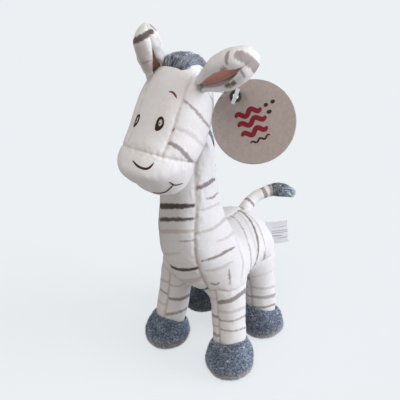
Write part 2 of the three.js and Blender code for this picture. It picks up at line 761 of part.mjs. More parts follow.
function tailSpace() {
  const pivot = vector(tailPath[0]);
  const ball = new THREE.SphereGeometry(tail.ball + swingGap, facets.ball, facets.ball);
  ball.translate(pivot.x, pivot.y, pivot.z);
  const form = inflated(tailForm(), gap);
  const copies = [-tail.drop, 0, tail.lift].map((degrees) => solidOf(turned(form, pivot, sideways, degrees)));
  return copies.reduce((space, copy) => space.add(copy), solidOf(ball));
}

// Hang tag
function tagFrame() {
  const turn = THREE.MathUtils.degToRad(tag.turn);
  const tilt = THREE.MathUtils.degToRad(tag.tilt);
  const across = new THREE.Vector3(Math.cos(turn), Math.sin(turn), 0);
  const level = new THREE.Vector3(Math.sin(turn), -Math.cos(turn), 0);
  const normal = level.clone().multiplyScalar(Math.cos(tilt)).addScaledVector(upward, Math.sin(tilt));
  const up = new THREE.Vector3().crossVectors(normal, across);
  const root = headPoint(head.brow.z + anchor.overBrow, anchor.turn);
  const hole = root.clone().addScaledVector(across, filamentReach.out);
  hole.addScaledVector(normal, filamentReach.forward).addScaledVector(upward, filamentReach.up);
  const place = new THREE.Matrix4().makeBasis(across, up, normal).setPosition(hole);
  return { across, up, normal, root, hole, place };
}

// A disc with a hole at the origin, and its own middle at x and y.
function disc(radius, depth, holeRadius, curveSegments, x = 0, y = 0) {
  const shape = new THREE.Shape().absarc(x, y, radius, 0, 2 * Math.PI, false);
  shape.holes.push(new THREE.Path().absarc(0, 0, holeRadius, 0, 2 * Math.PI, true));
  const geometry = new THREE.ExtrudeGeometry(shape, { depth, bevelEnabled: false, curveSegments });
  return geometry.translate(0, 0, -depth / 2);
}

function tagPieces() {
  const { place } = tagFrame();
  const turn = THREE.MathUtils.degToRad(tagHole.turn);
  const reach = tag.radius - tagHole.fromRim;
  const x = reach * Math.sin(turn);
  const y = -reach * Math.cos(turn);
  const card = disc(tag.radius, tag.thickness, tagHole.radius, facets.card, x, y).applyMatrix4(place);
  const bore = tagHole.radius - gap;
  const ringDisc = (radius, depth) => disc(radius, depth, bore - eyelet.wall, facets.eyelet);
  const flange = (z) => solidOf(ringDisc(eyelet.rim, eyelet.proud).translate(0, 0, z));
  const rise = tag.thickness / 2 + gap / 2 + eyelet.proud / 2;
  const barrel = solidOf(ringDisc(bore, tag.thickness + gap + eyelet.proud));
  const ring = barrel.add(flange(rise)).add(flange(-rise));
  return [
    meshOf("tag_card", solidOf(card), colours.card),
    placed(meshOf("tag_eyelet", ring, colours.ring, roughness.metal), place),
    meshOf("tag_fastener", fastenerSolid(), colours.plastic, roughness.plastic),
  ];
}

function placed(mesh, place) {
  mesh.applyMatrix4(place);
  return mesh;
}

// A rod between two points.
function rod(from, to, radius, count) {
  const length = from.distanceTo(to);
  const geometry = new THREE.CylinderGeometry(radius, radius, length, count);
  const direction = to.clone().sub(from).normalize();
  geometry.applyQuaternion(new THREE.Quaternion().setFromUnitVectors(new THREE.Vector3(0, 1, 0), direction));
  const middle = from.clone().lerp(to, 0.5);
  return geometry.translate(middle.x, middle.y, middle.z);
}

// The fastener: a cross bar inside the head, a filament out through the skin and the tag's hole, and a
// paddle in front of the eyelet.
function fastenerSolid() {
  const { across, up, normal, root, hole, place } = tagFrame();
  const inside = root.clone().addScaledVector(across, -fastener.inset);
  const rise = tag.thickness + eyelet.proud + 2 * gap + fastener.barRadius / 2;
  const front = hole.clone().addScaledVector(normal, rise);
  const early = root.clone().addScaledVector(across, filamentReach.out * filamentBend.early);
  const late = hole.clone().addScaledVector(normal, -filamentReach.forward * filamentBend.behind);
  late.addScaledVector(across, -filamentReach.out * filamentBend.late);
  const path = new THREE.CatmullRomCurve3([inside, root, early, late, hole, front]);
  const section = new THREE.Shape().absarc(0, 0, fastener.radius, 0, 2 * Math.PI, false);
  const facetsOnly = { bevelEnabled: false, curveSegments: filamentFacets };
  const options = { ...facetsOnly, steps: filamentSteps, extrudePath: path };
  const filament = solidOf(new THREE.ExtrudeGeometry(section, options));
  const half = fastener.barLength / 2;
  const bar = rod(
    inside.clone().addScaledVector(upward, -half),
    inside.clone().addScaledVector(upward, half),
    fastener.barRadius,
    facets.tail,
  );
  const endPaddle = new THREE.BoxGeometry(paddle.width, paddle.length, fastener.barRadius);
  endPaddle.rotateZ(THREE.MathUtils.degToRad(paddleTurn)).applyMatrix4(place);
  const shift = front.clone().sub(hole);
  endPaddle.translate(shift.x, shift.y, shift.z);
  return filament.add(solidOf(bar)).add(solidOf(endPaddle));
}

// Room in the head for the fastener's bar to turn with the tag, and for its filament.
function fastenerSpace() {
  const { across, root } = tagFrame();
  const at = (distance) => root.clone().addScaledVector(across, distance);
  const half = fastener.barRadius + gap;
  const pocket = rod(
    at(-fastener.inset - half),
    at(-fastener.inset + half),
    fastener.barLength / 2 + 2 * gap,
    facets.ball,
  );
  const way = rod(at(-fastener.inset), at(fastener.inset), fastener.radius + gap, facets.tail);
  return solidOf(pocket).add(solidOf(way));
}

// Care label: it hangs out of the side of the rump and flaps about its sewn edge
function labelHinge() {
  return new THREE.Vector3(torso.rump.width, torso.rump.y, label.z);
}

function labelPiece(bodyGeometry) {
  const hinge = labelHinge();
  const sheet = new THREE.BoxGeometry(label.length + label.inset, label.thickness, label.height);
  sheet.translate((label.length - label.inset) / 2, 0, 0);
  sheet.rotateY(THREE.MathUtils.degToRad(-label.tilt));
  sheet.rotateZ(THREE.MathUtils.degToRad(label.turn)).translate(hinge.x, hinge.y, hinge.z);
  const grown = inflated(bodyGeometry, gap);
  const turns = [-label.flap, 0, label.flap];
  const cut = turns.reduce((rest, degrees) => {
    return rest.subtract(solidOf(turned(grown, hinge, upward, degrees)));
  }, solidOf(sheet));
  return meshOf("care_label", largestOf(cut), colours.label);
}

function build() {
  const zebra = new THREE.Group();
  zebra.add(...bodyPieces(), ...headPieces(), ...earPieces("left"), ...earPieces("right"));
  for (const [end, side] of legNames) {
    zebra.add(...legPieces(end, side));
  }
  zebra.add(meshOf("tail", solidOf(tailForm()), colours.white));
  zebra.add(meshOf("tail_tuft", solidOf(tuftForm()), colours.blueGrey));
  zebra.add(...tagPieces(), labelPiece(bodyForm()));
  const box = new THREE.Box3().setFromObject(zebra);
  const middle = box.getCenter(new THREE.Vector3());
  zebra.position.set(-middle.x, -middle.y, -box.min.z);
  return zebra;
}

export default build();
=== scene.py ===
import json
import math

import bpy
import numpy as np
from mathutils import Matrix, Vector, noise
from mathutils.bvhtree import BVHTree


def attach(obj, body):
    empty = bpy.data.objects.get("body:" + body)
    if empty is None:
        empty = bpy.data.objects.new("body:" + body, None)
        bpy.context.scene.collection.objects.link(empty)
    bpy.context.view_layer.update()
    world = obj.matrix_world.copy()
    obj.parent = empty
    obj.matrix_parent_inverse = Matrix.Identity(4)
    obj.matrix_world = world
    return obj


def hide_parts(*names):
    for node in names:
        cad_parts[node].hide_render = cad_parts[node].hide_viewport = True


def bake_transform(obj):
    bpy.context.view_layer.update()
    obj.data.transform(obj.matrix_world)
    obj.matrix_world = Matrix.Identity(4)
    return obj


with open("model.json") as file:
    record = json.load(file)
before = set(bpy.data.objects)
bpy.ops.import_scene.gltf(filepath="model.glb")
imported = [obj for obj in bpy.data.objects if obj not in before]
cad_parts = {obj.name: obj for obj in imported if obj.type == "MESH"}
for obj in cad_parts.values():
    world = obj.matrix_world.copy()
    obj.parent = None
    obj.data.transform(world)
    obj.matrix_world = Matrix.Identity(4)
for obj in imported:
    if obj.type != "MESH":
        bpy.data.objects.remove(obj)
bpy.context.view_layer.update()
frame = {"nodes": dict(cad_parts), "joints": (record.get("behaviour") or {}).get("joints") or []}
rng = np.random.default_rng(7)

# All lengths below are in millimetres, in the zebra's own frame: x = 0 is its middle, z = 0 the floor.
# SHIFT takes that frame to the row frame.
MM = 0.001
JOINTS = {j["name"]: np.array(j["pos_m"]) / MM for j in frame["joints"]}
SHIFT = JOINTS["head_nod"] - np.array([0.0, -43.0, 196.0])
X, Y, Z = np.eye(3)


def unit(v):
    v = np.asarray(v, float)
    return v / np.linalg.norm(v, axis=-1, keepdims=True)


def row(p):
    """A point of the zebra's frame, in the row frame and metres."""
    return tuple((np.asarray(p, float) + SHIFT) * MM)


def added(name, data):
    """A new object in the scene."""
    o = bpy.data.objects.new(name, data)
    bpy.context.scene.collection.objects.link(o)
    return o


# Camera. The focal length is in pixels of the picture, which is 400 by 400
PICTURE, SENSOR = 400, 36
EYE = np.array([207.0, -340.0, 367.0])
TURN, PITCH, FOCAL = math.radians(33.4), math.radians(30), 580.0
AHEAD = np.array([-math.sin(TURN) * math.cos(PITCH), math.cos(TURN) * math.cos(PITCH), -math.sin(PITCH)])
RIGHT = np.array([math.cos(TURN), math.sin(TURN), 0.0])
UP = np.cross(RIGHT, AHEAD)

camera = added("camera", bpy.data.cameras.new("camera"))
camera.data.sensor_width = SENSOR
camera.data.lens = SENSOR * FOCAL / PICTURE
camera.data.clip_start, camera.data.clip_end = 0.01, 20
camera.matrix_world = Matrix([list(v) for v in np.array([RIGHT, UP, -AHEAD]).T]).to_4x4()
camera.location = row(EYE)
bpy.context.scene.camera = camera


def sight(px, py):
    """The direction in which the camera sees a place of the picture."""
    return unit(AHEAD + RIGHT * (px - PICTURE / 2) / FOCAL + UP * (PICTURE / 2 - py) / FOCAL)


# Curves and forms
def through(points, count):
    """A smooth curve through rows of numbers, sampled evenly in its parameter."""
    p = np.asarray(points, float)
    n = len(p) - 1
    t = np.linspace(0, n, count)
    i = np.minimum(t.astype(int), n - 1)
    u = (t - i)[:, None]
    e = np.vstack([2 * p[0] - p[1], p, 2 * p[-1] - p[-2]])
    a, b, c, d = e[i], e[i + 1], e[i + 2], e[i + 3]
    return 0.5 * (2 * b + (c - a) * u + (2 * a - 5 * b + 4 * c - d) * u**2 + (3 * b - a - 3 * c + d) * u**3)


def around(count):
    """Evenly spaced angles of a full turn."""
    return np.linspace(0, 2 * math.pi, count, endpoint=False)


def rings(middle, across, along, width, front, back, sides):
    """Vertices of rings about a line, as an array of rings by sides by 3."""
    across, along = (np.broadcast_to(v, middle.shape)[:, None] for v in (across, along))
    width, front, back = (np.asarray(v, float)[:, None] for v in (width, front, back))
    t = around(sides)
    x = width * np.cos(t)
    y = np.sin(t) * np.where(np.sin(t) < 0, front, back)
    return middle[:, None] + across * x[..., None] + along * y[..., None]


def skin_of(grid, start):
    """The faces of a grid of rings, closed at its ends, whose first vertex has the number start."""
    m, n = grid.shape[:2]
    i, j = np.indices((m - 1, n))
    a, b = i * n + j, i * n + (j + 1) % n
    quads = np.stack([a, b, b + n, a + n], -1).reshape(-1, 4) + start
    first = [start + k for k in range(n)]
    last = [start + (m - 1) * n + k for k in range(n)]
    return quads.tolist() + [first[::-1], last]


def new_object(name, points, faces):
    """An object with its points given in the zebra's frame."""
    mesh = bpy.data.meshes.new(name)
    mesh.from_pydata(((np.asarray(points, float).reshape(-1, 3) + SHIFT) * MM).tolist(), [], faces)
    mesh.validate()
    mesh.shade_smooth()
    return added(name, mesh)


def numbers(items, name, each, kind=float):
    """A property of all the items, as rows of numbers."""
    values = np.empty(len(items) * each, kind)
    items.foreach_get(name, values)
    return values.reshape(-1, each)


def points_of(mesh):
    """Vertices in the zebra's frame, in millimetres."""
    return numbers(mesh.vertices, "co", 3) / MM - SHIFT


def set_points(mesh, points):
    mesh.vertices.foreach_set("co", ((points + SHIFT) * MM).ravel())
    mesh.update()


def normals_of(mesh):
    return numbers(mesh.vertex_normals, "vector", 3)


def swollen(mesh, distance):
    """Moves each vertex outwards by a distance."""
    set_points(mesh, points_of(mesh) + normals_of(mesh) * distance[:, None])


def tinted(o, colours):
    """Keeps a colour at each vertex, for materials to read."""
    a = o.data.attributes.new("print", "FLOAT_COLOR", "POINT")
    a.data.foreach_set("color", np.c_[colours, np.ones(len(colours))].astype(np.float32).ravel())


def applied(o):
    """The object's mesh with its modifiers applied."""
    bpy.context.view_layer.update()
    mesh = bpy.data.meshes.new_from_object(o.evaluated_get(bpy.context.evaluated_depsgraph_get()))
    o.modifiers.clear()
    o.data = mesh
    mesh.shade_smooth()
    return mesh


def joined(name, grids):
    """One object of closed forms, each of them a grid of rings."""
    points, faces = [], []
    start = 0
    for g in grids:
        points.append(g.reshape(-1, 3))
        faces += skin_of(g, start)
        start += g.shape[0] * g.shape[1]
    return new_object(name, np.vstack(points), faces)


def remeshed(o, size):
    m = o.modifiers.new("remesh", "REMESH")
    m.mode = "VOXEL"
    m.voxel_size = size * MM
    return applied(o)


def eased(mesh, weight, rounds):
    """Evens the surface out by weight, from 0 to 1 at each vertex."""
    a, b = numbers(mesh.edges, "vertices", 2, int).T
    p = points_of(mesh)
    count = np.bincount(np.r_[a, b], minlength=len(p))[:, None]
    for _ in range(rounds):
        total = np.zeros_like(p)
        np.add.at(total, a, p[b])
        np.add.at(total, b, p[a])
        p += (total / count - p) * 0.5 * weight[:, None]
    set_points(mesh, p)


def finer(o, levels):
    m = o.modifiers.new("fine", "SUBSURF")
    m.levels = m.render_levels = levels
    return applied(o)


def smooth(low, high, x):
    t = np.clip((x - low) / (high - low), 0, 1)
    return t * t * (3 - 2 * t)


def field(points, size, seed):
    """Smooth noise from about -1 to 1 at each point, with lumps of a size in millimetres."""
    offset = Vector((seed * 13.7, seed * 5.1, seed * 9.3))
    return np.array([noise.noise(Vector(p) / size + offset) for p in points]) * 1.6


def stuffed(o, pinned, pressure, cap, frames):
    """Swells a padded form with a cloth simulation, held where pinned is 1, and applies it."""
    mesh = o.data
    rest = points_of(mesh)
    group = o.vertex_groups.new(name="held")
    for w in np.unique(np.round(pinned, 1)):
        found = np.nonzero(np.round(pinned, 1) == w)[0].tolist()
        group.add(found, float(w), "REPLACE")
    cloth = o.modifiers.new("cloth", "CLOTH")
    s = cloth.settings
    s.quality = 6
    s.mass = 0.2
    s.tension_stiffness = s.compression_stiffness = 18
    s.shear_stiffness = 8
    s.bending_stiffness = 0.6
    s.vertex_group_mass = "held"
    s.use_pressure = True
    s.uniform_pressure_force = pressure
    s.effector_weights.gravity = 0
    cloth.point_cache.frame_start, cloth.point_cache.frame_end = 1, frames
    for f in range(1, frames + 1):
        bpy.context.scene.frame_set(f)
    moved = points_of(applied(o)) - rest
    bpy.context.scene.frame_set(1)
    length = np.linalg.norm(moved, axis=1, keepdims=True)
    moved *= np.minimum(length, cap) / np.maximum(length, 1e-9)
    set_points(o.data, rest + moved)


# Stations of the body and the head: y, z, half width, depth to the front, depth to the back
TORSO = [
    (55, 92, 0.2, 0.2, 0.2),
    (52.5, 92, 12.5, 10, 10),
    (46.5, 91, 22.5, 17, 17),
    (33.5, 91, 31.5, 22, 21),
    (18, 91, 36, 23.5, 21.5),
    (0.5, 92.5, 36.5, 26, 21),
    (-14.5, 95, 35, 30, 20),
    (-25.5, 111, 32.5, 29.5, 23),
    (-33.5, 126, 27.5, 28.5, 26),
    (-38, 143, 24, 26, 25),
    (-40, 161, 20.5, 23.5, 23),
    (-42, 179, 19.5, 22.5, 22),
    (-43, 196, 19, 22, 22),
    (-43, 210, 14, 16, 16),
    (-43, 216, 4, 4, 4),
]
HEAD = [
    (-77, 181, 0.2, 0.2, 0.2),
    (-77, 182.5, 12.5, 7.5, 10),
    (-74.5, 187, 18.5, 12.5, 15),
    (-74, 193, 22, 19.5, 19.5),
    (-74.5, 203, 25, 29, 21.5),
    (-68, 212, 26, 31, 27),
    (-60, 223, 26, 27, 26.5),
    (-55.5, 235, 25.5, 23, 24.5),
    (-52.5, 245, 22.5, 19, 22),
    (-50, 254, 17, 15, 18),
    (-49.5, 260, 10.5, 9.5, 10),
    (-50, 262, 0.2, 0.2, 0.2),
]
HIP = {"x": 22.5, "z": 87, "front": -21, "rear": 27.5, "width": 15, "front_depth": 17, "rear_depth": 18.5}
FOOT = {"front": (33, -29.5), "rear": (32.5, 29)}
LEGS = [(end, side) for end in ("front", "rear") for side in ("left", "right")]
SIGN = {"left": 1, "right": -1}
# Half the chest panel's width, the height of the legs' top seams, and a distance at which no seam shows
PANEL, SEAM_Z, FAR = 16.0, 82.0, 99.0
# The hoof covers hold the legs under HOOF_TOP, and the head holds the neck over NECK_TOP
HOOF_TOP, NECK_TOP = 34, 190

spine = through([(s[0], s[1]) for s in TORSO], 240)
slopes = unit(np.gradient(spine, axis=0))


def form_grid(stations, count, level_from, sides=56):
    """Rings through stations, square to the line of their middles and level above a height."""
    s = through(stations, count)
    tangent = unit(np.gradient(s[:, :2], axis=0))
    middle = np.c_[np.zeros(count), s[:, :2]]
    along = np.c_[np.zeros(count), tangent[:, 1], -tangent[:, 0]]
    along[s[:, 1] > level_from] = Y
    return rings(middle, X, along, *np.maximum(s[:, 2:], 0.2).T, sides)


def leg_line(end, side, z):
    """The middle of a leg at a height."""
    hip = np.array([SIGN[side] * HIP["x"], HIP[end], HIP["z"]])
    foot = np.array([SIGN[side] * FOOT[end][0], FOOT[end][1], 0.0])
    t = np.asarray(z, float)[..., None] / HIP["z"]
    return foot + (hip - foot) * t


def leg_grid(end, side, sides=40):
    """Rings up a leg, closed by a dome inside the body."""
    top, width, depth = HIP["z"], HIP["width"], HIP[end + "_depth"]
    levels = [(11, 12, 12), (20, 13.2, 13.2), (30, 13.9, 13.9), (54, 14, 14)]
    levels += [(72, 14.5, (14.7 + depth) / 2), (top, width, depth)]
    for a in (0.4, 0.8, 1.2, 1.5):
        levels.append((top + depth * math.sin(a), width * math.cos(a), depth * math.cos(a)))
    z, across, along = through(levels, 56).T
    return rings(leg_line(end, side, z), X, Y, across, along, along, sides)


def behind_spine(p):
    """How far each point lies behind the spine."""
    k = ((p[:, None, 1:] - spine[None]) ** 2).sum(-1).argmin(1)
    return (p[:, 1] - spine[k, 0]) * slopes[k, 1] - (p[:, 2] - spine[k, 1]) * slopes[k, 0]


def off_leg(p, end, side):
    """Each point's offset from a leg's line at its height, and the length of it."""
    offset = p - leg_line(end, side, p[:, 2])
    return offset, np.hypot(offset[:, 0], offset[:, 1])


def above_seam(p, side):
    """Height over a leg's top seam, which dips on the inner side, under the belly."""
    inward = (HIP["x"] - SIGN[side] * p[:, 0]) / 15
    return p[:, 2] - (SEAM_Z - 9 * np.clip(inward, 0, 1))


def leg_of(p):
    """The number of the leg whose tube each point belongs to, or -1."""
    best = np.full(len(p), -1)
    for k, (end, side) in enumerate(LEGS):
        near = (off_leg(p, end, side)[1] < 20) & (p[:, 0] * SIGN[side] > 2)
        best[near & (above_seam(p, side) < 0)] = k
    return best


def groove(distance, width):
    return np.exp(-((distance / width) ** 2))


body = joined("body_form", [form_grid(TORSO, 84, NECK_TOP)] + [leg_grid(*leg) for leg in LEGS])
remeshed(body, 3.8)
# The creases where the legs run into the body are evened out
p = points_of(body.data)
inside = np.zeros(len(p))
for end, side in LEGS:
    c = leg_line(end, side, np.clip(p[:, 2], 0, 95))
    r = np.hypot(p[:, 0] - c[:, 0], p[:, 1] - c[:, 1])
    inside = np.maximum(inside, smooth(30, 18, r) * smooth(60, 72, p[:, 2]) * smooth(118, 104, p[:, 2]))
eased(body.data, 0.15 + 0.85 * inside, 8)


def body_seams(p):
    """Distances to the seams beside the chest and along the legs, on the ridge, and on top of the legs."""
    back = behind_spine(p)
    chest = np.where(back < 2, np.abs(np.abs(p[:, 0]) - PANEL), FAR)
    ridge = np.where(back > 0, np.abs(p[:, 0]), FAR)
    leg = np.full(len(p), FAR)
    for end, side in LEGS:
        offset, r = off_leg(p, end, side)
        near = (r < 21) & (p[:, 0] * SIGN[side] > 2)
        above = above_seam(p, side)
        leg = np.where(near, np.minimum(leg, np.abs(above)), leg)
        below = near & (above < 0)
        front_seam = np.where(offset[:, 1] < 0, np.abs(offset[:, 0] + SIGN[side] * 1.5), FAR)
        chest = np.where(below, front_seam, chest)
        ridge = np.where(below, FAR, ridge)
    return chest, ridge, leg


p = points_of(body.data)
chest, ridge, leg = body_seams(p)
near = np.minimum(np.minimum(chest, ridge), leg)
held = np.clip(groove(near, 3.0) + (p[:, 2] < HOOF_TOP) + (p[:, 2] > NECK_TOP), 0, 1)
stuffed(body, held, pressure=3.0, cap=1.6, frames=14)
finer(body, 2)

head = joined("head_form", [form_grid(HEAD, 60, 0)])
remeshed(head, 3.4)
eased(head.data, np.full(len(head.data.vertices), 0.4), 4)


GUSSET = 14.5


def head_seams(p):
    """Height over the muzzle's sloping seam, and distance outside the face gusset's seams."""
    muzzle = p[:, 2] - (219.5 - 0.5 * (p[:, 1] + 98))
    gusset = np.abs(p[:, 0]) - GUSSET
    return muzzle, gusset


p = points_of(head.data)
muzzle, gusset = head_seams(p)
face = np.where(muzzle > 0, np.abs(gusset), FAR)
held = np.clip(groove(np.minimum(np.abs(muzzle), face), 3.0), 0, 1)
stuffed(head, held, pressure=3.0, cap=1.4, frames=14)
finer(head, 2)


# Printed stripes
WHITE = np.array([0.8, 0.782, 0.778])
DARK = np.array([0.115, 0.085, 0.08])
GREY = np.array([0.3, 0.25, 0.24])
BEIGE = np.array([0.55, 0.49, 0.46])
PALE = np.array([0.64, 0.605, 0.59])
TAN = np.array([0.42, 0.3, 0.23])
# Painted shade for the lobe of an ear that is turned from the light
LOBE_SHADE = np.array([0.55, 0.485, 0.45])
# Half the width of a stripe's soft edge in millimetres, and the pixels between the points of its line
SOFT, APART = 0.4, 1.2


def seen_on(tree, places, count):
    """A smooth line through places of the picture, as points of a surface."""
    hits = [tree.ray_cast(Vector(EYE), Vector(sight(*place)))[0] for place in through(places, count)]
    return np.array([tuple(h) for h in hits if h is not None])


def runs(line):
    """The length of a line up to each of its points."""
    return np.r_[0, np.cumsum(np.linalg.norm(np.diff(line, axis=0), axis=1))]


class Painted:
    """A mesh with a colour at each vertex, on which stripes are printed."""

    def __init__(self, o):
        self.object = o
        self.points = points_of(o.data)
        self.normals = normals_of(o.data)
        self.colour = np.tile(WHITE, (len(self.points), 1))
        self.refresh()
        # How ragged the edges of stripes are
        self.edge = field(self.points, 2.2, 3) * 0.35 + field(self.points, 0.9, 5) * 0.3

    def refresh(self):
        """The surface as it is now, for rays."""
        mesh = self.object.data
        mesh.calc_loop_triangles()
        tris = [tuple(t.vertices) for t in mesh.loop_triangles]
        self.tree = BVHTree.FromPolygons([tuple(q) for q in points_of(mesh)], tris)

    def seen(self, places):
        """Places of the picture, as a line of close points on the surface."""
        return seen_on(self.tree, places, max(6, int(runs(np.array(places, float))[-1] / APART)))

    def stripe(self, line, width, colour, strength=1.0, where=None, taper=0.5):
        """Prints a stripe of a width along a line of points on the surface."""
        if len(line) < 2:
            return
        low, high = line.min(0) - width - 3, line.max(0) + width + 3
        k = np.nonzero(((self.points > low) & (self.points < high)).all(1))[0]
        if where is not None:
            k = k[where[k]]
        if not len(k):
            return
        p = self.points[k]
        best = np.full(len(k), FAR)
        share = np.zeros(len(k))
        length = runs(line)
        for i in range(len(line) - 1):
            a, d = line[i], line[i + 1] - line[i]
            t = np.clip(((p - a) @ d) / max(d @ d, 1e-9), 0, 1)
            r = np.linalg.norm(p - a - t[:, None] * d, axis=1)
            closer = r < best
            best[closer] = r[closer]
            share[closer] = (length[i] + t[closer] * np.linalg.norm(d)) / length[-1]
        half = width / 2 * (1 - taper * np.abs(2 * share - 1) ** 2.5)
        mask = smooth(half + SOFT, half - SOFT, best + self.edge[k]) * strength
        self.colour[k] += (colour - self.colour[k]) * mask[:, None]

    def print(self, places, width, colour, strength=1.0, mirror=False, where=None, **options):
        """Prints a stripe along places of the picture, and on the hidden side if it is mirrored."""
        line = self.seen(places)
        x = self.points[:, 0]
        near = where * (x > -1) if mirror else where
        self.stripe(line, width, colour, strength, where=near, **options)
        if mirror and len(line):
            hidden = where * (x < 1) * (((EYE - self.points) * self.normals).sum(1) < 0)
            self.stripe(line * [-1, 1, 1], width, colour, strength, where=hidden, **options)

    def store(self):
        tinted(self.object, self.colour)
        self.refresh()


paint = Painted(body)
p = paint.points
back = behind_spine(p)
legs = leg_of(p)
chest_side = (legs < 0) & (back < 2) & (np.abs(p[:, 0]) < PANEL)
body_side = (legs < 0) & ~chest_side
shown = {"chest": chest_side, "side": body_side}
for k, (end, side) in enumerate(LEGS):
    inner = off_leg(p, end, side)[0][:, 0] * SIGN[side] < -1.5
    shown[f"{end}_{side}_inner"] = (legs == k) & inner
    shown[f"{end}_{side}_outer"] = (legs == k) & ~inner

CHEST = [
    ([(158, 206), (176, 206.5), (194, 206)], 4.6, DARK, 1.0),
    ([(158, 219.5), (176, 219.5), (194, 219)], 3.3, DARK, 0.95),
    ([(157, 231.5), (176, 231.5), (195, 231)], 3.2, BEIGE, 0.7),
    ([(180, 241.3), (188, 241), (195, 240.6)], 1.3, GREY, 0.7),
    ([(158, 252), (168, 254), (180, 253)], 2.6, PALE, 0.7),
    ([(163, 262), (173, 267.5), (184, 270), (195, 269), (205, 266.5)], 4.6, DARK, 1.0),
    ([(172, 279), (190, 281), (206, 277)], 6.0, BEIGE, 0.6),
    ([(166, 268), (174, 278), (184, 286), (196, 289.5), (213, 288)], 3.6, DARK, 1.0),
]
SIDE = [
    ([(194, 190), (204, 186), (215, 179)], 3.6, GREY, 1.0),
    ([(207, 199), (213, 197), (218, 192.5)], 1.8, GREY, 0.9),
    ([(194, 211.5), (206, 209), (220, 203)], 2.2, BEIGE, 0.55),
    ([(196, 233.5), (212, 229), (229, 215.5)], 3.4, BEIGE, 0.75),
    ([(217, 241.5), (226, 238), (234, 232)], 3.0, BEIGE, 0.5),
    ([(202, 261), (218, 256), (235, 247)], 2.4, GREY, 1.0),
    ([(206, 271), (220, 268), (232, 262)], 3.8, BEIGE, 0.55),
    ([(229, 269), (229.5, 277), (230.5, 285)], 1.6, GREY, 0.9),
    ([(211.5, 283), (215, 284.5), (219, 283)], 2.2, GREY, 0.9),
    ([(235.5, 236), (240, 250), (243, 264), (241, 282)], 3.6, PALE, 0.8),
    ([(226, 211), (240, 224), (248, 243), (251, 262), (248, 291)], 1.1, GREY, 0.8),
    ([(232, 208), (245, 220), (254, 240), (257, 262), (254, 278)], 1.8, PALE, 0.8),
    ([(224, 206), (237, 208.5), (250, 220), (258, 242), (256, 262), (248, 275)], 2.2, DARK, 0.85),
    ([(240, 208), (256, 222), (264, 242), (265.5, 256), (263, 270)], 1.1, GREY, 0.6),
    ([(264, 252), (264, 262), (261, 271)], 3.0, GREY, 0.8),
    ([(260, 272), (268, 268.5), (275, 262)], 2.6, GREY, 0.9),
]
LIMBS = {
    "front_left_outer": [
        ([(219, 302.5), (232, 300), (246, 290)], 4.4, GREY, 0.95),
        ([(219, 311.5), (232, 312), (247, 306)], 3.0, BEIGE, 0.6),
        ([(219, 320.5), (233, 321), (249, 313.5)], 1.5, GREY, 0.85),
        ([(219, 329), (233, 331), (249, 326)], 1.5, GREY, 0.8),
    ],
    "front_left_inner": [
        ([(209, 296), (214, 299), (219, 300)], 3.0, BEIGE, 0.5),
        ([(209, 309), (213, 315), (219, 318)], 3.4, GREY, 0.8),
        ([(210, 321), (214, 325), (219, 327)], 2.2, BEIGE, 0.6),
        ([(211, 330.5), (215, 335), (220, 337)], 3.4, GREY, 0.7),
    ],
    "front_right_outer": [
        ([(159, 278), (164, 281), (168, 282)], 2.8, BEIGE, 0.7),
        ([(159, 288.5), (163, 292), (168, 295.5)], 1.8, GREY, 0.9),
        ([(156, 299), (161, 303), (166, 306)], 3.2, PALE, 0.8),
    ],
    "front_right_inner": [
        ([(169, 285), (178, 286), (187, 283)], 2.6, BEIGE, 0.6),
        ([(169, 299), (180, 299.5), (191, 294.5)], 3.6, GREY, 0.95),
        ([(167, 314.5), (178, 312.5), (190, 307)], 3.2, GREY, 0.8),
    ],
    "rear_left_outer": [
        ([(254, 277), (262, 275), (272, 271)], 2.2, PALE, 0.6),
        ([(253, 287), (264, 288.5), (279, 285)], 2.4, BEIGE, 0.7),
        ([(252, 296.5), (265, 297.5), (280, 293)], 3.2, GREY, 0.7),
        ([(250, 306.5), (264, 307.5), (281, 302)], 2.0, GREY, 0.95),
    ],
}
for places, *look in CHEST:
    both = len(places) < 5 and places[0][0] > 175
    paint.print(places, *look, mirror=both, where=shown["chest"])
for stripe in SIDE:
    paint.print(*stripe, mirror=True, where=shown["side"])


LEG_RADIUS = 14.6


def carried_round(line, end, side):
    """A leg's stripe, carried on from its end at the outline to the back of the leg."""
    c = leg_line(end, side, line[:, 2])
    turn = np.arctan2(line[:, 0] - c[:, 0], c[:, 1] - line[:, 1])
    if abs(turn[0]) > abs(turn[-1]):
        line, turn = line[::-1], turn[::-1]
    rest = np.linspace(turn[-1], math.copysign(math.pi, turn[-1]), 16)[1:]
    slope = np.clip((line[-1, 2] - line[0, 2]) / max(abs(turn[-1] - turn[0]), 0.5), -4, 4)
    z = line[-1, 2] + slope * (1 - np.exp(-np.abs(rest - turn[-1])))
    more = leg_line(end, side, z)
    more[:, 0] += LEG_RADIUS * np.sin(rest)
    more[:, 1] -= LEG_RADIUS * np.cos(rest)
    return np.vstack([line, more])


for name, stripes in LIMBS.items():
    end, side, face = name.split("_")
    for places, *look in stripes:
        line = paint.seen(places)
        if not len(line):
            continue
        line = carried_round(line, end, side)
        paint.stripe(line, *look, where=shown[name], taper=0.15)
        if end == "rear":
            paint.stripe(line * [-1, 1, 1], *look, where=shown["rear_right_outer"], taper=0.15)
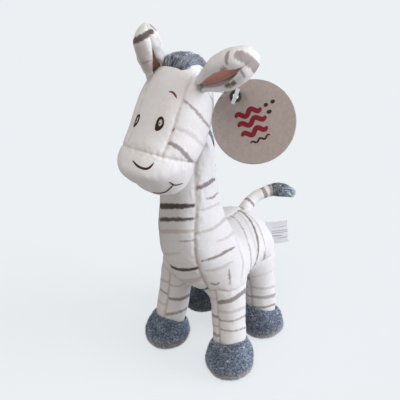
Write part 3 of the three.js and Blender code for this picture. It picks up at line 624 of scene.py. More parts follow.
# The inner sides of the rear legs and the underside, which the camera doesn't see
for z, *look in [
    (72, 3.0, BEIGE, 0.6),
    (62, 3.4, GREY, 0.8),
    (51, 2.4, BEIGE, 0.7),
    (42, 3.0, GREY, 0.8),
]:
    for side in SIGN:
        turn = np.linspace(0, 2 * math.pi, 25)
        ring = leg_line("rear", side, np.full(25, float(z)))
        ring += np.stack([14.3 * np.cos(turn), LEG_RADIUS * np.sin(turn), 2 * np.sin(turn)], 1)
        paint.stripe(ring, *look, where=shown[f"rear_{side}_inner"], taper=0)
for y, lift, *look in [
    (-16, 0, 5, DARK, 0.9),
    (0, 0, 4, GREY, 0.8),
    (15, 0, 5, BEIGE, 0.7),
    (30, 0, 5, DARK, 0.9),
    (42, 6, 3.4, GREY, 0.8),
]:
    x = np.linspace(-17, 17, 15)
    bar = np.stack([x, y + 0.012 * x * x, 68.0 + lift + 0.012 * x * x], 1)
    paint.stripe(bar, *look, where=shown["chest"], taper=0.2)

# Seams: drawn in, with painted shade darkening the fold, and the puckers of the thread
seams = body_seams(p)
seam, wide = (np.maximum.reduce([groove(s, width) for s in seams]) for width in (1.0, 3.2))
pucker = field(p, 2.6, 9)
relief = -0.75 * seam - 0.45 * wide * (1 + 0.8 * pucker) + 0.35 * field(p, 14, 1) + 0.12 * field(p, 5, 2)
swollen(body.data, relief)
# Painted shade: the colour is darker in the seams' folds
paint.colour *= (1 - 0.14 * seam)[:, None]
paint.colour += (TAN - paint.colour) * (0.45 * groove(seams[0], 0.7))[:, None]
paint.store()

face_paint = Painted(head)
p = face_paint.points
muzzle, gusset = head_seams(p)
on_muzzle = muzzle < 0
on_cheek = ~on_muzzle & (gusset > 0)
for stripe in [
    ([(184, 100), (196, 111), (209, 127)], 1.7, GREY, 0.8),
    ([(176, 128), (192, 135), (207, 150)], 2.6, PALE, 0.8),
    ([(167, 142), (179, 148), (194, 164)], 2.8, GREY, 0.95),
    ([(198, 159), (206, 158), (213, 155)], 1.4, PALE, 0.8),
]:
    face_paint.print(*stripe, mirror=True, where=on_cheek, taper=0.25)
ear_base = [(201.3, 68.8), (204.2, 78.4), (208, 86), (208.5, 93.7), (212.3, 99.4)]
face_paint.print(ear_base, 0.9, DARK, 0.75, mirror=True, where=on_cheek | (p[:, 2] > 240), taper=0.1)
seam = np.maximum(groove(muzzle, 0.9), np.where(muzzle > 0, groove(gusset, 0.8), 0))
wide = np.maximum(groove(muzzle, 3.4), np.where(muzzle > 0, groove(gusset, 2.6) * 0.5, 0))
pucker = field(p, 2.4, 11)
relief = -0.7 * seam - 0.6 * wide * (1 + 0.9 * pucker) + 0.35 * field(p, 15, 4) + 0.1 * field(p, 5, 6)
swollen(head.data, relief)
# Painted shade: darker in the seams' folds, and a beige painted shadow along the muzzle seam
face_paint.colour *= (1 - 0.12 * seam)[:, None]
shadow = 0.22 * groove(muzzle - 1.2, 2.6) * (1 + 0.6 * field(p, 5, 13)).clip(0.2)
face_paint.colour += (BEIGE - face_paint.colour) * shadow[:, None]
face_paint.store()


def part_of(o, name, chosen, *nodes):
    """A piece of the chosen faces of a form, with its printed colours."""
    mesh = o.data
    starts, sizes = (numbers(mesh.polygons, key, 1, int)[:, 0] for key in ("loop_start", "loop_total"))
    corners = numbers(mesh.loops, "vertex_index", 1, int)[:, 0]
    faces = [corners[s : s + n] for s, n, c in zip(starts, sizes, chosen) if c]
    used = np.unique(np.concatenate(faces))
    index = np.full(len(mesh.vertices), -1)
    index[used] = np.arange(len(used))
    part = new_object(name, points_of(mesh)[used], [index[f].tolist() for f in faces])
    tinted(part, numbers(mesh.attributes["print"].data, "color", 4, np.float32)[used, :3])
    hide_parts(*nodes)
    return part


def centres(mesh):
    return numbers(mesh.polygons, "center", 3) / MM - SHIFT


c = centres(body.data)
legs = leg_of(c)
is_chest = (legs < 0) & (behind_spine(c) < 2) & (np.abs(c[:, 0]) < PANEL)
skins = {}
for name, chosen, nodes in [
    ("chest_belly_skin", is_chest, ("chest_and_belly_panel", "neck_filling")),
    ("left_body_skin", (legs < 0) & ~is_chest & (c[:, 0] >= 0), ("left_body_panel", "torso_filling")),
    ("right_body_skin", (legs < 0) & ~is_chest & (c[:, 0] < 0), ("right_body_panel",)),
]:
    skins[name] = part_of(body, name, chosen, *nodes)
    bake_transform(skins[name])
for k, (end, side) in enumerate(LEGS):
    name = f"{end}_{side}_leg"
    skins[name] = part_of(body, name + "_tube", legs == k, name + "_skin", name + "_filling")
    pivot = leg_line(end, side, np.array([80.0, 56.0]))
    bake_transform(skins[name])
c = centres(head.data)
muzzle, gusset = head_seams(c)
for name, chosen, nodes in [
    ("muzzle_skin", muzzle < 0, ("muzzle_panel", "head_filling")),
    ("face_gusset_skin", (muzzle >= 0) & (gusset < 0), ("face_gusset",)),
    ("left_cheek_skin", (muzzle >= 0) & (gusset >= 0) & (c[:, 0] > 0), ("left_cheek_panel",)),
    ("right_cheek_skin", (muzzle >= 0) & (gusset >= 0) & (c[:, 0] < 0), ("right_cheek_panel",)),
]:
    skins[name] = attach(part_of(head, name, chosen, *nodes), "head")


# Materials
class Nodes:
    """The nodes of a material or of the world, made in short calls."""

    def __init__(self, owner, shader="Principled BSDF", output="Material Output"):
        owner.use_nodes = True
        self.owner = owner
        self.tree = owner.node_tree
        self.shader = self.tree.nodes[shader]
        self.output = self.tree.nodes[output]

    def put(self, value, socket):
        """Links a socket to another node, or sets it to a value."""
        if hasattr(value, "links"):
            self.tree.links.new(value, socket)
        else:
            socket.default_value = value

    def add(self, kind, **values):
        node = self.tree.nodes.new("ShaderNode" + kind)
        for key, value in values.items():
            if hasattr(node, key):
                setattr(node, key, value)
            else:
                self.put(value, node.inputs[key.replace("_", " ")])
        return node

    def set(self, **values):
        for key, value in values.items():
            self.put(value, self.shader.inputs[key.replace("_", " ")])

    def space(self):
        return self.add("TexCoord").outputs["Object"]

    def print(self):
        """The colours that the mesh keeps at its vertices."""
        return self.add("Attribute", attribute_name="print").outputs["Color"]

    def noise(self, scale, detail=3, roughness=0.55):
        values = {"Scale": scale, "Detail": detail, "Roughness": roughness}
        return self.add("TexNoise", Vector=self.space(), **values).outputs["Fac"]

    def math(self, operation, a, b):
        node = self.add("Math", operation=operation)
        self.put(a, node.inputs[0])
        self.put(b, node.inputs[1])
        return node.outputs[0]

    def spread(self, value, low, high, to_low=0.0, to_high=1.0):
        ends = {"From_Min": low, "From_Max": high, "To_Min": to_low, "To_Max": to_high}
        return self.add("MapRange", Value=value, **ends).outputs["Result"]

    def times(self, colour, factor):
        """A colour brightened or darkened by a factor."""
        node = self.add("VectorMath", operation="SCALE", Scale=factor)
        self.put(colour, node.inputs[0])
        return node.outputs["Vector"]

    def mix(self, factor, a, b):
        node = self.add("Mix", data_type="RGBA")
        for key, v in ((0, factor), (6, a), (7, b)):
            self.put(v, node.inputs[key])
        return node.outputs[2]

    def bump(self, height, strength, distance):
        node = self.add("Bump", Strength=strength, Distance=distance, Height=height)
        self.set(Normal=node.outputs["Normal"])

    def on_rays(self, *kinds):
        """1 where a surface is met by a ray of one of these kinds, and 0 elsewhere."""
        path = self.add("LightPath").outputs
        value = path[f"Is {kinds[0]} Ray"]
        for kind in kinds[1:]:
            value = self.math("MAXIMUM", value, path[f"Is {kind} Ray"])
        return value

    def cover(self, other, factor):
        """Shows another shader in place of the first by a factor."""
        both = self.add("MixShader")
        for value, socket in zip((factor, self.shader.outputs[0], other.outputs[0]), both.inputs):
            self.put(value, socket)
        self.put(both.outputs[0], self.output.inputs["Surface"])


def material(name):
    return Nodes(bpy.data.materials.new(name))


def velour(name, colour=None):
    """Short pile: fine speckle, soft blotches where the nap lies over, and sheen."""
    n = material(name)
    fine, tufts, nap = n.noise(1500, 2), n.noise(520, 3), n.noise(60, 2)
    level = n.math("MULTIPLY", n.spread(fine, 0.3, 0.7, 0.95, 1.03), n.spread(tufts, 0.3, 0.7, 0.972, 1.02))
    level = n.math("MULTIPLY", level, n.spread(nap, 0.3, 0.7, 0.975, 1.02))
    n.bump(n.math("ADD", fine, n.math("MULTIPLY", tufts, 0.7)), 0.25, 0.0005)
    n.set(Base_Color=n.times(colour or n.print(), level), Roughness=0.92)
    n.set(Sheen_Weight=0.14, Sheen_Roughness=0.45, Specular_IOR_Level=0.1)
    return n.owner


def thread(name, colour):
    n = material(name)
    light = [c * 1.9 for c in colour]
    n.set(Base_Color=n.mix(n.spread(n.noise(1400, 2), 0.35, 0.65), (*colour, 1), (*light, 1)))
    n.bump(n.noise(2500, 1), 0.3, 0.0002)
    n.set(Roughness=0.6, Specular_IOR_Level=0.2)
    return n.owner


PLUSH = velour("white_plush")
BACKING = velour("blue_grey_backing", (0.13, 0.155, 0.19))
SOLE = velour("sole_fabric", (0.1, 0.11, 0.13))
PINK = velour("ear_lining", (0.97, 0.59, 0.53))
BROWN = thread("embroidery_thread", (0.03, 0.013, 0.008))
CHESTNUT = thread("brow_thread", (0.13, 0.05, 0.025))
SILVER = thread("light_thread", (0.44, 0.43, 0.43))
PUPIL = thread("grey_thread", (0.1, 0.095, 0.1))
SEWING = thread("seam_thread", (0.56, 0.43, 0.37))
long_pile = material("blue_grey_pile")
shades = long_pile.spread(long_pile.noise(900, 2), 0.3, 0.7, 0.8, 1.2)
long_pile.set(Base_Color=long_pile.times(long_pile.print(), shades), Roughness=0.75)
long_pile.set(Sheen_Weight=0.3, Sheen_Roughness=0.4, Specular_IOR_Level=0.25)


def dressed(o, made_of, body=None, replaced=()):
    """Gives a piece its material, hides the nodes that it replaces, and hangs it on the body that it rides
    on.
    """
    o.data.materials.clear()
    o.data.materials.append(made_of)
    if replaced:
        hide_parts(*replaced)
    if body:
        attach(o, body)
    return o


for o in skins.values():
    dressed(o, PLUSH)
bpy.data.objects.remove(body)
bpy.data.objects.remove(head)


# Pile
def sampled(mesh, count, chosen=None):
    """Random places on a mesh, with their normals."""
    mesh.calc_loop_triangles()
    tri = np.array([t.vertices for t in mesh.loop_triangles])
    p, n = points_of(mesh), normals_of(mesh)
    a, b, c = p[tri[:, 0]], p[tri[:, 1]], p[tri[:, 2]]
    area = np.linalg.norm(np.cross(b - a, c - a), axis=1)
    if chosen is not None:
        area = area * chosen((a + b + c) / 3)
    k = rng.choice(len(tri), count, p=area / area.sum())
    u, v = rng.random((2, count, 1))
    flip = (u + v) > 1
    u, v = np.where(flip, 1 - u, u), np.where(flip, 1 - v, v)
    place = a[k] + u * (b - a)[k] + v * (c - a)[k]
    normal = unit(n[tri[k, 0]] + u * (n[tri[k, 1]] - n[tri[k, 0]]) + v * (n[tri[k, 2]] - n[tri[k, 0]]))
    return place, normal


def strands(name, place, direction, bend, length, radius, colour, body=None):
    """Tapering strands of pile as one mesh: each starts along direction and ends turned towards bend."""
    n = len(place)
    side = unit(np.cross(direction, unit(rng.normal(size=(n, 3)))))
    other = np.cross(direction, side)
    half = (length * 0.5)[:, None]
    mid = place + direction * half
    tip = mid + unit(direction + bend) * half
    loops = []
    for centre, r in ((place - direction * 0.3, radius), (mid, radius * 0.85)):
        for a in around(3):
            loops.append(centre + (side * math.cos(a) + other * math.sin(a)) * r)
    # Each strand has two rings of three vertices and a tip
    points = np.stack(loops + [tip], 1).reshape(-1, 3)
    base = (np.arange(n) * 7)[:, None, None]
    quads = (base + np.array([[0, 1, 4, 3], [1, 2, 5, 4], [2, 0, 3, 5]])).reshape(-1, 4)
    tris = (base + np.array([[3, 4, 6], [4, 5, 6], [5, 3, 6]])).reshape(-1, 3)
    o = new_object(name, points, quads.tolist() + tris.tolist())
    # Darker at the root, paler at the tip
    shade = np.repeat(colour, 7, axis=0).reshape(n, 7, 3)
    shade[:, :3] *= 0.55
    shade[:, 6] *= 1.15
    tinted(o, shade.reshape(-1, 3))
    return dressed(o, long_pile.owner, body)


INK = np.array([[0.07, 0.085, 0.115], [0.25, 0.295, 0.36], [0.43, 0.47, 0.53], [0.72, 0.73, 0.75]])


def pile_colours(place, shares):
    """Blue-grey fibres, dark to pale, in small clumps."""
    pick = rng.choice(len(INK), len(place), p=shares)
    clump = field(place, 2.4, 21)
    return INK[pick] * (1 + 0.35 * clump)[:, None].clip(0.4, 1.7)


# The hoof covers' upper edges: height, and how much it rises towards x and y
RIM = {("front", "left"): (27.5, 4.4, -4.4), ("front", "right"): (24.8, -0.5, -7.0)}
HOOF_BASE, EDGE_SEAM, SEWN_LINE = 1.2, 9.0, 9.4
HOOF_LEVELS = [1.2, 2.2, 4, 7, 11, 16, 21, 27, 35]
HOOF_RADII = [15.2, 16.6, 17.9, 18.8, 19.2, 19.0, 18.3, 17.0, 15.6]


def rim_height(end, side, way):
    """The height of the cover's upper edge on the side that way points to: highest near the front."""
    base, *slope = RIM.get((end, side), (24.8, 0.0, -6.0))
    return base + way @ np.array(slope)


def hoof_radius(z, drop):
    """The cover's radius at a height, and drawn in to the leg near its upper edge, which is drop above."""
    return np.minimum(np.interp(z, HOOF_LEVELS, HOOF_RADII), 14.1 + 4.6 * (np.clip(drop, 0, 20) / 14) ** 0.75)


def hoof_grid(end, side, sides=64, rows=40):
    """Rings up a hoof cover, the last ones tucked in under its upper edge."""
    turn = around(sides)
    lean = np.sin(turn)
    rim = rim_height(end, side, np.stack([np.cos(turn), lean], 1))
    grid = np.zeros((rows + 3, sides, 3))
    for i in range(rows + 3):
        tuck = max(0, i - rows)
        z = HOOF_BASE + (rim - HOOF_BASE) * min(i / rows, 1.0) - 1.2 * tuck
        r = hoof_radius(z, rim - z) - 0.9 * tuck
        toe = np.where(lean < 0, 1.5 * smooth(30, 12, z), 0)
        grid[i] = leg_line(end, side, z)
        grid[i, :, 0] += r * np.cos(turn)
        grid[i, :, 1] += (r + toe) * lean
    return grid


def tinged(colour, tone, share):
    """Colours drawn towards a tone by a share."""
    return colour + (np.array(tone) - colour) * share[:, None]


for end, side in LEGS:
    name = f"{end}_{side}_hoof"
    rider = f"{end}_{side}_leg"
    cover = joined(name, [hoof_grid(end, side)])
    q = points_of(cover.data)
    swell = 0.6 * field(q, 9, 31) - groove(q[:, 2] - EDGE_SEAM, 0.8) * 0.5
    swollen(cover.data, swell * smooth(2, 5, q[:, 2]))
    dressed(cover, BACKING, rider, [name + "_cover"])
    place, normal = sampled(cover.data, 17000, lambda c: (c[:, 2] > 2.0) * 1.0)
    outward = place - leg_line(end, side, place[:, 2])
    below = rim_height(end, side, unit(outward[:, :2])) - place[:, 2]
    facing = (normal * unit(outward * [1, 1, 0.01])).sum(1) > 0.1
    place, normal, below = place[facing], normal[facing], below[facing]
    whorl = field(place, 7, 33)[:, None]
    astray = 0.3 * rng.normal(size=normal.shape)
    normal = unit(normal * 0.9 + astray + 0.2 * whorl * np.array([0.6, 0.3, 0.5]))
    down = np.array([0, 0, -0.5]) + 0.35 * rng.normal(size=place.shape)
    length = rng.uniform(1.0, 1.9, len(place)) * smooth(-1, 3, below).clip(0.6)
    colour = pile_colours(place, [0.32, 0.4, 0.2, 0.08])
    patch = 1 + 0.22 * field(place, 8, 35)
    colour = colour * np.clip(patch, 0.45, 1.5)[:, None] * np.array([1.3, 1.36, 1.47])
    # A pale fringe at the bottom, a sewn line above it, and a pale upper edge
    fringe = smooth(13.5, 8.0, place[:, 2] + 2.5 * field(place, 5, 36)) * rng.uniform(0.1, 1.0, len(place))
    colour = tinged(colour, [0.86, 0.79, 0.785], fringe * 0.9)
    colour = colour * (1 - 0.4 * groove(place[:, 2] - SEWN_LINE, 0.8))[:, None]
    pale_rim = smooth(1.6, 0.2, below) * rng.uniform(0, 1, len(place))
    colour = tinged(colour, [0.6, 0.6, 0.61], pale_rim * 0.7)
    strands(name + "_pile", place, normal, down, length, 0.17, colour, body=rider)
    foot = leg_line(end, side, np.array([0.0, 0.0, 1.4, 1.9]))
    foot[:, 2] = [0, 0.15, 1.4, 1.9]
    r = np.array([13.6, 14.9, 15.3, 14.4])
    sole = joined(name + "_sole_pad", [rings(foot, X, Y, r, r + 1.5, r, 48)])
    dressed(sole, SOLE, rider, [name + "_sole"])


# Head mane and neck mane
def sheet_faces(rows, cols):
    """Faces of a thin sheet: a grid of vertices, the same grid behind it, and the rim between them."""
    n = rows * cols
    faces = []
    for i in range(rows - 1):
        for j in range(cols - 1):
            a = i * cols + j
            faces.append([a, a + 1, a + cols + 1, a + cols])
            faces.append([n + a, n + a + cols, n + a + cols + 1, n + a + 1])
    rim = [*range(cols), *range(2 * cols - 1, n, cols)]
    rim += [*range(n - 2, n - cols - 1, -1), *range(n - 2 * cols, 0, -cols)]
    return faces + [[b, a, n + a, n + b] for a, b in zip(rim, rim[1:] + rim[:1])]


def ridge(name, tree, casts, half, height, cols=21):
    """A closed strip lying over a form: casts are rays to its middle line, half its width to each side."""
    rows = len(casts)
    top = np.zeros((rows, cols, 3))
    bottom = np.zeros((rows, cols, 3))
    for i, (origin, direction) in enumerate(casts):
        t = i / (rows - 1)
        end = math.sqrt(max(0.0, 1 - (2 * t - 1) ** 6))
        for j in range(cols):
            u = 2 * j / (cols - 1) - 1
            start = Vector(origin) + Vector((u * half * (0.8 + 0.2 * end), 0, 0))
            hit, normal = tree.ray_cast(start, Vector(direction))[:2]
            if hit is None:
                hit, normal = tree.find_nearest(start + Vector(direction) * 30)[:2]
            normal = np.array(normal)
            lift = height * math.sqrt(max(0.0, 1 - u * u)) ** 0.7 * end
            top[i, j] = np.array(hit) + normal * (lift + 0.1)
            bottom[i, j] = np.array(hit) - normal * 0.6
    o = new_object(name, np.stack([top, bottom]), sheet_faces(rows, cols))
    return dressed(o, BACKING), top


def combed(name, patch, top, count, lengths, lie=0.9, shares=(0.24, 0.44, 0.24, 0.08)):
    """Long pile on the upper side of a strip, combed along its rows."""
    along = unit(np.gradient(top, axis=0)).reshape(-1, 3)
    flat = top.reshape(-1, 3)
    up = normals_of(patch.data)[: len(flat)]
    place, normal = sampled(patch.data, count)
    nearest = ((place[:, None] - flat[None]) ** 2).sum(-1).argmin(1)
    keep = (normal * up[nearest]).sum(1) > 0.1
    place, normal, nearest = place[keep], normal[keep], nearest[keep]
    comb = unit(along[nearest] + 0.08 * rng.normal(size=place.shape))
    wave = field(place, 6, 41)[:, None]
    direction = unit(normal * (1 - lie) + comb * lie + X * 0.14 * wave)
    bend = unit(comb - normal * 0.12 + 0.06 * rng.normal(size=place.shape))
    length = rng.uniform(*lengths, len(place))
    return strands(name, place, direction, bend, length, 0.2, pile_colours(place, shares))


crown = np.array([0, -52.0, 236.0])
over_head = []
for angle in np.radians(np.linspace(-14, 136, 34)):
    outward = np.array([0, math.sin(angle), math.cos(angle)])
    over_head.append((crown + outward * 70, -outward))
down_neck = [((0, 60, z), (0, -1, 0)) for z in np.linspace(212, 149, 24)]
for name, tree, casts, half, height, count, lengths in (
    ("head_mane", face_paint.tree, over_head, 9.8, 4.2, 16000, (3.0, 5.0)),
    ("neck_mane", paint.tree, down_neck, 8.8, 3.4, 12000, (2.4, 3.8)),
):
    patch, top = ridge(name + "_backing", tree, casts, half, height)
    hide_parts(name)
    pile = combed(name + "_pile", patch, top, count, lengths)
    for piece in (patch, pile):
        if name == "head_mane":
            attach(piece, "head")
        else:
            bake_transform(piece)

# Ears
EARS = {
    "left": {
        "length": 42.5,
        "width": 12.6,
        "toward": (0.85, 0.1, 0.55),
        "front": (0.35, -0.9, 0.2),
        "lobe": 4.3,
        "fold": (-0.35, 0, 0),
        "lining_rows": (5, 47),
    },
    "right": {
        "length": 34.0,
        "width": 9.6,
        "toward": (0.05, -0.2, 0.97),
        "front": (0.25, -0.97, -0.1),
        "lobe": 3.3,
        "fold": (-0.85, 21, 0.45),
        "lining_rows": (5, 29),
    },
}
# Share of the length, width, half angle of the fold, thickness of the lobes
LEAF = [
    (0.0, 0.5, 118, 0.55),
    (0.1, 0.56, 124, 0.62),
    (0.26, 0.78, 121, 0.8),
    (0.45, 1.0, 126, 0.96),
    (0.66, 1.0, 138, 1.05),
    (0.82, 0.88, 151, 1.05),
    (0.92, 0.66, 146, 1.0),
    (0.975, 0.4, 100, 0.8),
    (1.0, 0.05, 10, 0.1),
]


def leaf_rings(length, width, lobe, roll, shut, root, margin=None, rows=56, sides=56):
    """An ear's leaf in its own frame: a thick strip folded to the front, or the lining lying inside it.

    It is turned by roll about its length, folded further by shut in its middle, and wider at its root.
    """
    grid = np.zeros((rows, sides, 3))
    half = sides // 2
    for i, (share, wide, angle, thick) in enumerate(through(LEAF, rows)):
        t = max(lobe * thick, 0.05)
        wide *= 1 + root * max(0, 1 - share / 0.45)
        aside = 9 * root * (1 - share)
        reach = max(width * wide - t, 0.05)
        angle = math.radians(angle + shut * math.sin(math.pi * share))
        bend = reach / math.sin(min(angle, math.pi / 2))
        for j in range(sides):
            front = j >= half
            u = (j % half) / half * 2 - 1
            u = -u if front else u
            turn = u * angle
            full = t * (0.62 + 0.38 * u * u)
            if margin is None:
                off = full * math.sqrt(max(0.0, 1 - abs(u) ** 5)) * (-1 if front else 1)
                turn += math.copysign(abs(u) ** 8 * t / bend * 0.9, u)
            else:
                off = -full - (0.75 if front else 0.25)
                turn *= margin
            r = bend + off
            turn += roll
            back = r * math.cos(turn) - 0.6 * bend - 0.4 * t
            grid[i, j] = (r * math.sin(turn) + aside, back, share * length)
    return grid


for side, ear in EARS.items():
    toward = unit(ear["toward"])
    across = unit(np.cross(-np.array(ear["front"]), toward))
    depth = np.cross(toward, across)
    pivot = np.array([SIGN[side] * 19.0, -52.0, 251.0])
    basis = np.stack([across, depth, toward])
    lobe = ear["lobe"]
    form = (ear["length"], ear["width"], lobe, *ear["fold"])
    leaf = joined(side + "_ear_leaf", [leaf_rings(*form) @ basis + pivot])
    inner = leaf_rings(*form, margin=0.8)[slice(*ear["lining_rows"])]
    lining = joined(side + "_ear_lining_leaf", [inner @ basis + pivot])
    finer(leaf, 1)
    ear_paint = Painted(leaf)
    q = ear_paint.points
    swollen(leaf.data, 0.4 * field(q, 8, 51) + 0.1 * field(q, 3, 52))
    if side == "left":
        marks = [
            ([(228.5, 52), (227, 57), (226.5, 62)], 2.2, GREY, 0.9),
            ([(224, 68.5), (221.5, 71.5), (218.5, 75.5)], 3.2, GREY, 0.85),
            ([(239, 55), (246, 58), (253, 64), (259, 71)], 6.5, GREY, 0.85),
            ([(226.5, 86), (230, 85), (233.5, 83)], 3.6, DARK, 0.9),
            ([(240.5, 69), (242, 72), (244.5, 77)], 1.6, GREY, 0.8),
        ]
    else:
        marks = [
            # Painted shade: a broad taupe patch on the lobe that is turned from the light
            ([(140.5, 46), (142, 52), (145, 60), (148.5, 69)], 8.5, LOBE_SHADE, 0.75),
            ([(134, 41.5), (143, 36.5), (151, 31.5)], 4.0, DARK, 0.95),
            ([(143.5, 63), (148, 61.5), (152, 59)], 1.2, GREY, 0.6),
            ([(151, 25), (154, 28), (158, 32)], 3.0, GREY, 0.8),
            ([(157, 38), (159, 41), (160, 44)], 2.2, PALE, 0.9),
            ([(158, 48), (160, 50), (163, 53)], 2.2, PALE, 0.9),
            ([(158, 59.5), (160, 61), (161, 63)], 2.0, GREY, 0.7),
        ]
    for mark in marks:
        ear_paint.print(*mark, taper=0.1)
    bow = np.linspace(-ear["width"], ear["width"], 15)[:, None]
    for share, width, colour in ((0.3, 3, GREY), (0.52, 4, GREY), (0.76, 5, DARK)):
        middle = pivot + toward * ear["length"] * share + depth * (lobe + 1.0)
        bar = middle + across * bow - depth * (0.03 * bow**2)
        ear_paint.stripe(bar, width, colour, 0.75, taper=0.2, where=ear_paint.normals @ depth > 0.2)
    ear_paint.store()
    dressed(leaf, PLUSH, None, [side + "_ear"])
    dressed(lining, PINK, None, [side + "_ear_lining"])
    for piece in (leaf, lining):
        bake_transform(piece)

# Embroidery and stitches
def threads(name, starts, ends, normals, radius, rise, made_of, *replaced, slot="thread"):
    """Stitches as one mesh on the head: each is a thread that arches from its start to its end."""
    n, rounds, sides = len(starts), 6, 6
    t = np.linspace(0, 1, rounds)
    line = starts[:, None] + (ends - starts)[:, None] * t[None, :, None]
    line = line + normals[:, None] * (rise * np.sin(math.pi * t) ** 0.5 - 0.2)[None, :, None]
    way = unit(ends - starts)[:, None]
    across = unit(np.cross(way, normals[:, None]))
    up = np.cross(across, way)
    thick = (radius * np.array([0.6, 0.95, 1, 1, 0.95, 0.6]))[None, :, None]
    loops = []
    for a in around(sides):
        loops.append(line + (across * math.cos(a) + up * math.sin(a)) * thick)
    points = np.stack(loops, 2)
    faces = []
    for i in range(n):
        faces += [f[::-1] for f in skin_of(points[i], i * rounds * sides)]
    return dressed(new_object(name, points, faces), made_of, "head", replaced)


def read_at(values, run, at):
    """Rows of numbers along a line, read at lengths along it."""
    return np.stack([np.interp(at, run, values[:, k]) for k in range(3)], 1)


def surface_line(tree, places, spacing):
    """Places of the picture as evenly spaced points on a surface, with its normals there."""
    dense = seen_on(tree, places, 160)
    run = runs(dense)
    line = read_at(dense, run, np.linspace(0, run[-1], max(4, int(run[-1] / spacing))))
    return line, np.array([tree.find_nearest(Vector(q))[1] for q in line])


def satin(name, lines, width, made_of, *replaced):
    """Satin stitches side by side across lines that are given as places of the picture."""
    starts, ends, ups = [], [], []
    for places in lines:
        line, normals = surface_line(face_paint.tree, places, 0.3)
        tangent = unit(np.gradient(line, axis=0))
        across = unit(np.cross(normals, tangent)) + tangent * 0.35
        half = width / 2 * (1 - 0.7 * np.abs(np.linspace(-1, 1, len(line))) ** 3)[:, None]
        starts.append(line - across * half)
        ends.append(line + across * half)
        ups.append(normals)
    threads(name, *(np.vstack(k) for k in (starts, ends, ups)), 0.24, 0.42, made_of, *replaced)


def patch_at(place):
    """A flat frame on the face at a place of the picture: middle, level and upward directions, normal."""
    hit, normal = face_paint.tree.ray_cast(Vector(EYE), Vector(sight(*place)))[:2]
    n = np.array(normal)
    level = unit(np.cross(Z, n))
    return np.array(hit), level, np.cross(n, level), n


def on_patch(patch, u, v):
    """Points of the face over places of a flat frame."""
    middle, level, up, n = patch
    found = []
    for a, b in zip(u, v):
        flat = middle + level * a + up * b
        hit = face_paint.tree.ray_cast(Vector(flat + n * 6), Vector(-n))[0]
        found.append(tuple(flat if hit is None else hit))
    return np.array(found)
# Each eye is a satin ring around a light middle with a small dark spot
for side, place, narrow in (("left", (159.7, 123.9), 1.0), ("right", (136.6, 120.9), 0.8)):
    patch = patch_at(place)
    t = around(96)
    sag = np.maximum(0, -np.sin(t)) ** 1.5
    outer = on_patch(patch, narrow * (2.8 * np.cos(t) - 1.1 * sag), 4.7 * np.sin(t))
    inner = on_patch(patch, narrow * (1.15 * np.cos(t) + 0.3), 2.0 * np.sin(t) + 0.7)
    up = np.tile(patch[3], (96, 1))
    threads(side + "_eye_ring", inner, outer, up, 0.25, 0.5, BROWN, side + "_eye")
    v = np.arange(-1.3, 2.75, 0.33)
    half = 1.3 * narrow * np.sqrt(np.maximum(0.02, 1 - ((v - 0.7) / 2.1) ** 2))
    ends = on_patch(patch, 0.3 - half, v), on_patch(patch, 0.3 + half, v)
    light = side + "_eye_light"
    threads(side + "_eye_middle", *ends, up[: len(v)], 0.2, 0.34, SILVER, light, slot="light_thread")
    v = np.array([0.0, 0.33, 0.66])
    ends = on_patch(patch, np.full(3, -0.35), v), on_patch(patch, np.full(3, 0.55), v)
    threads(side + "_eye_spot", *ends, up[:3], 0.19, 0.62, PUPIL)

nose_line = [(132.8, 160.8), (138, 166.2), (145, 168.8), (150, 167.2), (153.6, 163)]
satin("nose_line", [nose_line], 1.6, BROWN, "nose_stitching")
mouth_line = [(153.5, 192.5), (160, 193), (166, 191.5), (170.5, 187.8), (173.5, 184.2)]
tick_line = [(169.5, 182), (173.5, 184.6), (177, 184.9), (182.5, 183.2)]
satin("mouth_line", [mouth_line, tick_line], 1.1, BROWN, "mouth_stitching")
satin("brow", [[(169.2, 91.7), (172.5, 92.2), (175, 94.8), (176.5, 98)]], 1.5, CHESTNUT)
satin("seam_tack", [[(173.2, 131), (174, 129.6), (174.6, 128)]], 0.7, CHESTNUT)


def running(name, line, normals, stitch, gap):
    """Small stitches along a line on a surface, with gaps between them."""
    run = runs(line)
    at = np.arange(0.5, run[-1] - stitch, stitch + gap)
    ends = read_at(line, run, at), read_at(line, run, at + stitch)
    threads(name, *ends, unit(read_at(normals, run, at)), 0.17, 0.3, SEWING)


for side, sign in SIGN.items():
    line, normals = [], []
    for z in np.linspace(214, 254, 90):
        hit, normal = face_paint.tree.ray_cast(Vector((sign * (GUSSET - 0.1), -150, z)), Vector(Y))[:2]
        if hit is not None and head_seams(np.array([hit]))[0][0] > 1:
            line.append(tuple(hit))
            normals.append(tuple(normal))
    running(side + "_face_seam_stitches", np.array(line), np.array(normals), 0.9, 1.0)

# Tail
TAIL = [
    (-0.5, 42.5, 104.5),
    (0, 47, 108),
    (1.5, 54, 111.5),
    (5, 62, 114.5),
    (10.2, 69.2, 116.8),
    (14.6, 73, 117.6),
    (20.4, 77.4, 116.6),
    (26.2, 81.4, 114.2),
]
path = through(TAIL, 71)[4:]


def tube_along(path, radii, sides):
    tangent = unit(np.gradient(path, axis=0))
    across = unit(np.cross(tangent, Z))
    return rings(path, across, np.cross(across, tangent), radii, radii, radii, sides)


# Stripes and widths count the path's points from ROOT on, and the tube ends at CUT, inside the tuft
ROOT, CUT = 6, 43
steps = np.arange(len(path)) - ROOT
radii = np.interp(steps, [-6, 0, 6, 18, 36, 40, 42], [5.4, 5.6, 5.2, 5.1, 5.2, 5.4, 4.9])
tail = joined("tail_tube", [tube_along(path[:CUT], radii[:CUT], 32)])
finer(tail, 1)
tail_paint = Painted(tail)
swollen(tail.data, 0.35 * field(tail_paint.points, 7, 61))
for share, width in ((0.11, 2.6), (0.4, 3.4)):
    k = ROOT + int(share * 60)
    loop = tube_along(path[k : k + 2], radii[k : k + 2], 24)[0]
    tail_paint.stripe(np.vstack([loop, loop[:1]]), width, GREY, 0.9, taper=0)
tail_paint.store()
dressed(tail, PLUSH, None, ["tail"])
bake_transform(tail)

